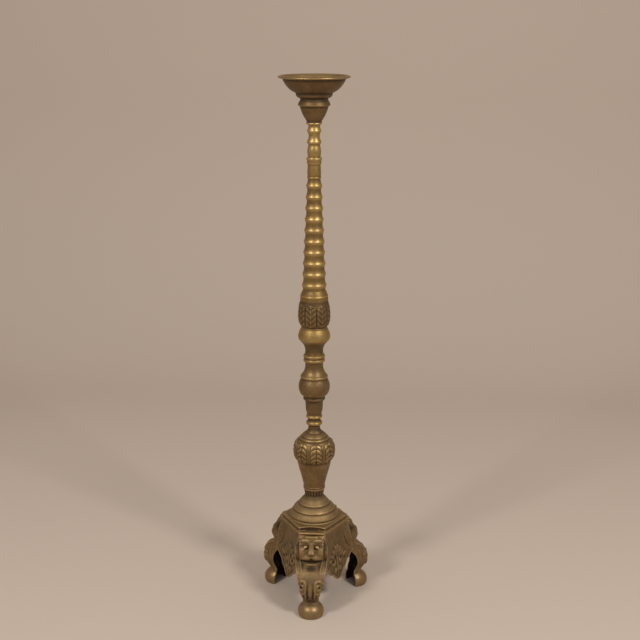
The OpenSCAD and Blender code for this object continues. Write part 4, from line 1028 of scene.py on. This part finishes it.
# the tree's inputs, and the sizes of this shaft in metres
SHAFT = {
    "Seat": ("Float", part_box("ringed_shaft")[0].z),
    "Height": ("Float", 0.245),
    "Shoulder": ("Float", 0.0212),
    "Shoulder radius": ("Float", 0.0286),
    "Low radius": ("Float", 0.0265),
    "Top radius": ("Float", 0.0155),
    "Rings": ("Int", 10),
    "Cove": ("Float", 0.0027),
    "Lip": ("Float", 0.0007),
    "Bore": ("Float", BORE_R * 0.001),
    "Rows": ("Int", 300),
    "Columns": ("Int", 129),
    "Material": ("Material", golden_brass),
}
shaft_tree, given = new_tree("Tapering ringed shaft", {label: kind for label, (kind, _) in SHAFT.items()})
# three more rows than the outside has: top of the bore, its foot, and the first row again
all_rows = add(shaft_tree, SUM, (given["Rows"], 3.0), operation="ADD")
net = add(shaft_tree, "GeometryNodeMeshGrid", (1.0, 1.0, given["Columns"], all_rows))
spot = add(shaft_tree, "GeometryNodeInputPosition")
x, y, _ = add(shaft_tree, "ShaderNodeSeparateXYZ", (spot,)).outputs
# each step: its name, a sum or a node, and the inputs, steps and numbers that it works with
STEPS = [
    ("angle", "MULTIPLY_ADD", "x", 2 * math.pi, math.pi),
    ("along", "ADD", "y", 0.5),
    ("last of all", "SUBTRACT", "all rows", 1.0),
    ("row", "MULTIPLY", "along", "last of all"),
    ("row", "ROUND", "row"),
    ("last", "SUBTRACT", "Rows", 1.0),
    ("up", "DIVIDE", "row", "last"),
    ("up", "MINIMUM", "up", 1.0),
    ("bore row", "ADD", "Rows", 0.5),
    ("outside", "LESS_THAN", "row", "bore row"),
    ("up", "MULTIPLY", "up", "outside"),
    ("height", "MULTIPLY", "up", "Height"),
    # how far up the rings this row is, and where in its own ring, from cove to cove
    ("past", "SUBTRACT", "height", "Shoulder"),
    ("ringed height", "SUBTRACT", "Height", "Shoulder"),
    ("phase", "DIVIDE", "past", "ringed height"),
    ("phase", "MULTIPLY", "phase", "Rings"),
    ("phase", "FRACT", "phase"),
    ("ring", "ShaderNodeFloatCurve", None, "phase"),
    ("taper", "SUBTRACT", "Top radius", "Low radius"),
    ("crest", "MULTIPLY_ADD", "taper", "up", "Low radius"),
    ("foot", "SUBTRACT", "crest", "Cove"),
    ("ringed", "MULTIPLY_ADD", "ring", "Cove", "foot"),
    # the shoulder runs in from its own radius, and has a fine lip turned round it
    ("share", "DIVIDE", "height", "Shoulder"),
    ("share", "MINIMUM", "share", 1.0),
    ("lean", "POWER", "share", 2.2),
    ("shoulder", "ShaderNodeMix", "lean", None, "Shoulder radius", "foot"),
    ("lip", "ShaderNodeFloatCurve", None, "share"),
    ("shoulder", "MULTIPLY_ADD", "lip", "Lip", "shoulder"),
    ("beyond", "GREATER_THAN", "past", 0.0),
    ("radius", "ShaderNodeMix", "beyond", None, "shoulder", "ringed"),
    ("in bore", "COMPARE", "row", "bore row", 0.75),
    ("radius", "ShaderNodeMix", "in bore", None, "radius", "Bore"),
    ("cosine", "COSINE", "angle"),
    ("sine", "SINE", "angle"),
    ("across", "MULTIPLY", "radius", "cosine"),
    ("deep", "MULTIPLY", "radius", "sine"),
    ("seated", "ADD", "height", "Seat"),
    ("place", "ShaderNodeCombineXYZ", "across", "deep", "seated"),
    # the crests and the lip are rubbed bright
    ("rubbed", "MULTIPLY", "ring", "beyond"),
    ("rubbed", "MULTIPLY_ADD", "lip", 0.6, "rubbed"),
    ("wear", "MULTIPLY_ADD", "rubbed", 0.36, 0.38),
]
known = {label: given[label] for label in SHAFT} | {"x": x, "y": y, "all rows": all_rows}
for name, work, *parts in STEPS:
    kind, settings = (work, {}) if work.startswith("ShaderNode") else (SUM, {"operation": work})
    parts = {i: known.get(part, part) for i, part in enumerate(parts) if part is not None}
    known[name] = add(shaft_tree, kind, parts, **settings)
# one ring from cove to cove, where 0 is the cove and 1 is the crest, and the lip likewise
RING = [(0, 0), (0.12, 0.05), (0.22, 0.24), (0.285, 0.54), (0.305, 0.66), (0.33, 0.60), (0.40, 0.84)]
RING += [(0.47, 1), (0.54, 0.86), (0.64, 0.5), (0.78, 0.19), (0.9, 0.05), (1, 0)]
LIP = [(0, 0), (0.36, 0), (0.40, 0.8), (0.44, 1), (0.50, 0.5), (0.62, 0), (1, 0)]
for name, line in (("ring", RING), ("lip", LIP)):
    points = known[name].mapping.curves[0].points
    points[0].location, points[1].location = line[0], line[-1]
    for middle in line[1:-1]:
        points.new(*middle)
    known[name].mapping.update()
marks = {"Geometry": net, "Name": "wear", "Value": known["wear"]}
marked = add(shaft_tree, "GeometryNodeStoreNamedAttribute", marks, data_type="FLOAT", domain="POINT")
turned = add(shaft_tree, "GeometryNodeSetPosition", {"Geometry": marked, "Position": known["place"]})
end_tree(shaft_tree, turned, 0.00001, given["Material"])

shaft = new_object("ringed_shaft_turned", [(0, 0, 0), (1, 0, 0), (0, 1, 0)], [(0, 1, 2)])
grow(shaft, shaft_tree, {label: size for label, (_, size) in SHAFT.items()})
fit(shaft, golden_brass, "ringed_shaft")

# ---- Banded collar and small baluster ----
# The brightest brass of the stem, handled most. The collar has a raised band near its top; the
# baluster has two rings and a thin bright one under the dark socket.

band = [(12.4, 0), (12.5, 1.8), (13.7, 2.8), (14.1, 4.2), (13.6, 5.6), (13.2, 6.4)]
band += bent([(13.3, 8), (13.6, 12), (13.3, 20), (12.9, 27), (12.7, 29.8)], 4)
band += [(14.0, 30.8), (14.4, 33)] + bent([(14.3, 36.5), (15, 39), (15.7, 41), (15.4, 43)], 3)
band += [(14.2, 44.2), (12.6, 45), (12.8, 48)]
turn_piece(
    "band_collar", "banded_collar", band, golden_brass, spacing=0.45,
    worn=((0, 0.02), (30, 0.02), (42, 0.16), (48, 0.05)),
)

lower = [(12.8, 0), (13.3, 1.8), (13.7, 7), (13.3, 12), (12.3, 16.4), (11.6, 19.5), (11.8, 21.6)]
upper = [(13.9, 27.6), (12.8, 30), (11.6, 32.6), (11, 36), (10.9, 39.4), (11.8, 42.4), (13, 45)]
rings = bent(lower, 4)
rings += [(13.4, 23.4), (14.2, 25), (14.2, 26.4)]
rings += bent(upper, 4)
rings += [(13.9, 46.6), (14.1, 48), (13.6, 49.6)]
rings += bent([(12.9, 51), (11.9, 53.6), (11.5, 56.4), (12.2, 59)], 3)
rings += [(14.2, 60.6), (15.8, 61.4), (16.2, 62.6), (15.8, 63.6), (15.2, 64)]
turn_piece(
    "small_baluster", "small_baluster_turned", rings, golden_brass, spacing=0.45,
    worn=((0, 0.14), (64, 0.2)),
)

# ---- Socket cup and drip pan ----
# Spun and turned brass that has gone dark olive-brown. The pan stands on a foot ring, its wall
# is slightly bellied, and its rim is rolled over and worn bright on top.

socket = [(15.2, 0), (14.7, 0.6), (14.6, 1.4)]
socket += bent([(15.2, 3), (17, 6), (19.8, 10.2), (22.6, 15.4), (25.2, 21.6), (27.2, 27)], 4)
socket += [(27.9, 30.4), (28.4, 31.4), (30.6, 32.2), (31.8, 33.2), (31.9, 34.2), (31, 37), (29.8, 40)]
socket += [(29.2, 41), (27.9, 42), (27.5, 43.4), (27.5, 47.5)]
turn_piece(
    "socket_cup", "socket_cup_turned", socket, olive_brass,
    worn=((0, 0.04), (33, 0.04), (36, -0.12), (40, -0.06), (42, 0), (47, -0.1)),
)

pan = [(30.6, 0), (32.2, 1), (34.2, 2.4), (35.6, 4.2), (36, 6), (35.9, 7.8), (36.4, 9.2)]
pan += bent([(38.4, 10.4), (44.6, 13.8), (50.6, 18.8), (55.6, 24.6), (59.4, 30.6), (61.9, 36)], 4)
pan += [(65.4, 37.4), (69.4, 38), (71, 39.4), (70.6, 40.8), (68.4, 42.2), (66.2, 43), (64.2, 42.4)]
pan += [(62.8, 40.8)]
pan_inside = [(59.4, 37.6), (57, 33), (50.6, 26.4), (45.6, 21), (40.8, 16.2), (36.6, 13), (32, 11)]
pan_inside += [(30, 10.5), (14, 10.5), (14, 13.5), (BORE_R, 13.5), (BORE_R, RECESS_H)]
pan_inside += [(RECESS_R, RECESS_H), (RECESS_R, 0)]
pan_inside += [(14, 0), (14, 6.9), (29, 6.9), (29, 0)]
turn_piece(
    "drip_pan", "drip_pan_turned", pan, olive_brass, inside=pan_inside, columns=24,
    worn=((0, -0.16), (6, -0.1), (9, 0.04), (12, 0), (36, 0), (38.4, 0.3), (43, 0.38)), worn_inside=0.8,
)

olive_even = aged_brass("aged turned brass, inside the pan", *olive, (0.62, 0.40), turned=True, even=0.5)
finish_solids(("pan_washer", "pan_nut"), olive_even)
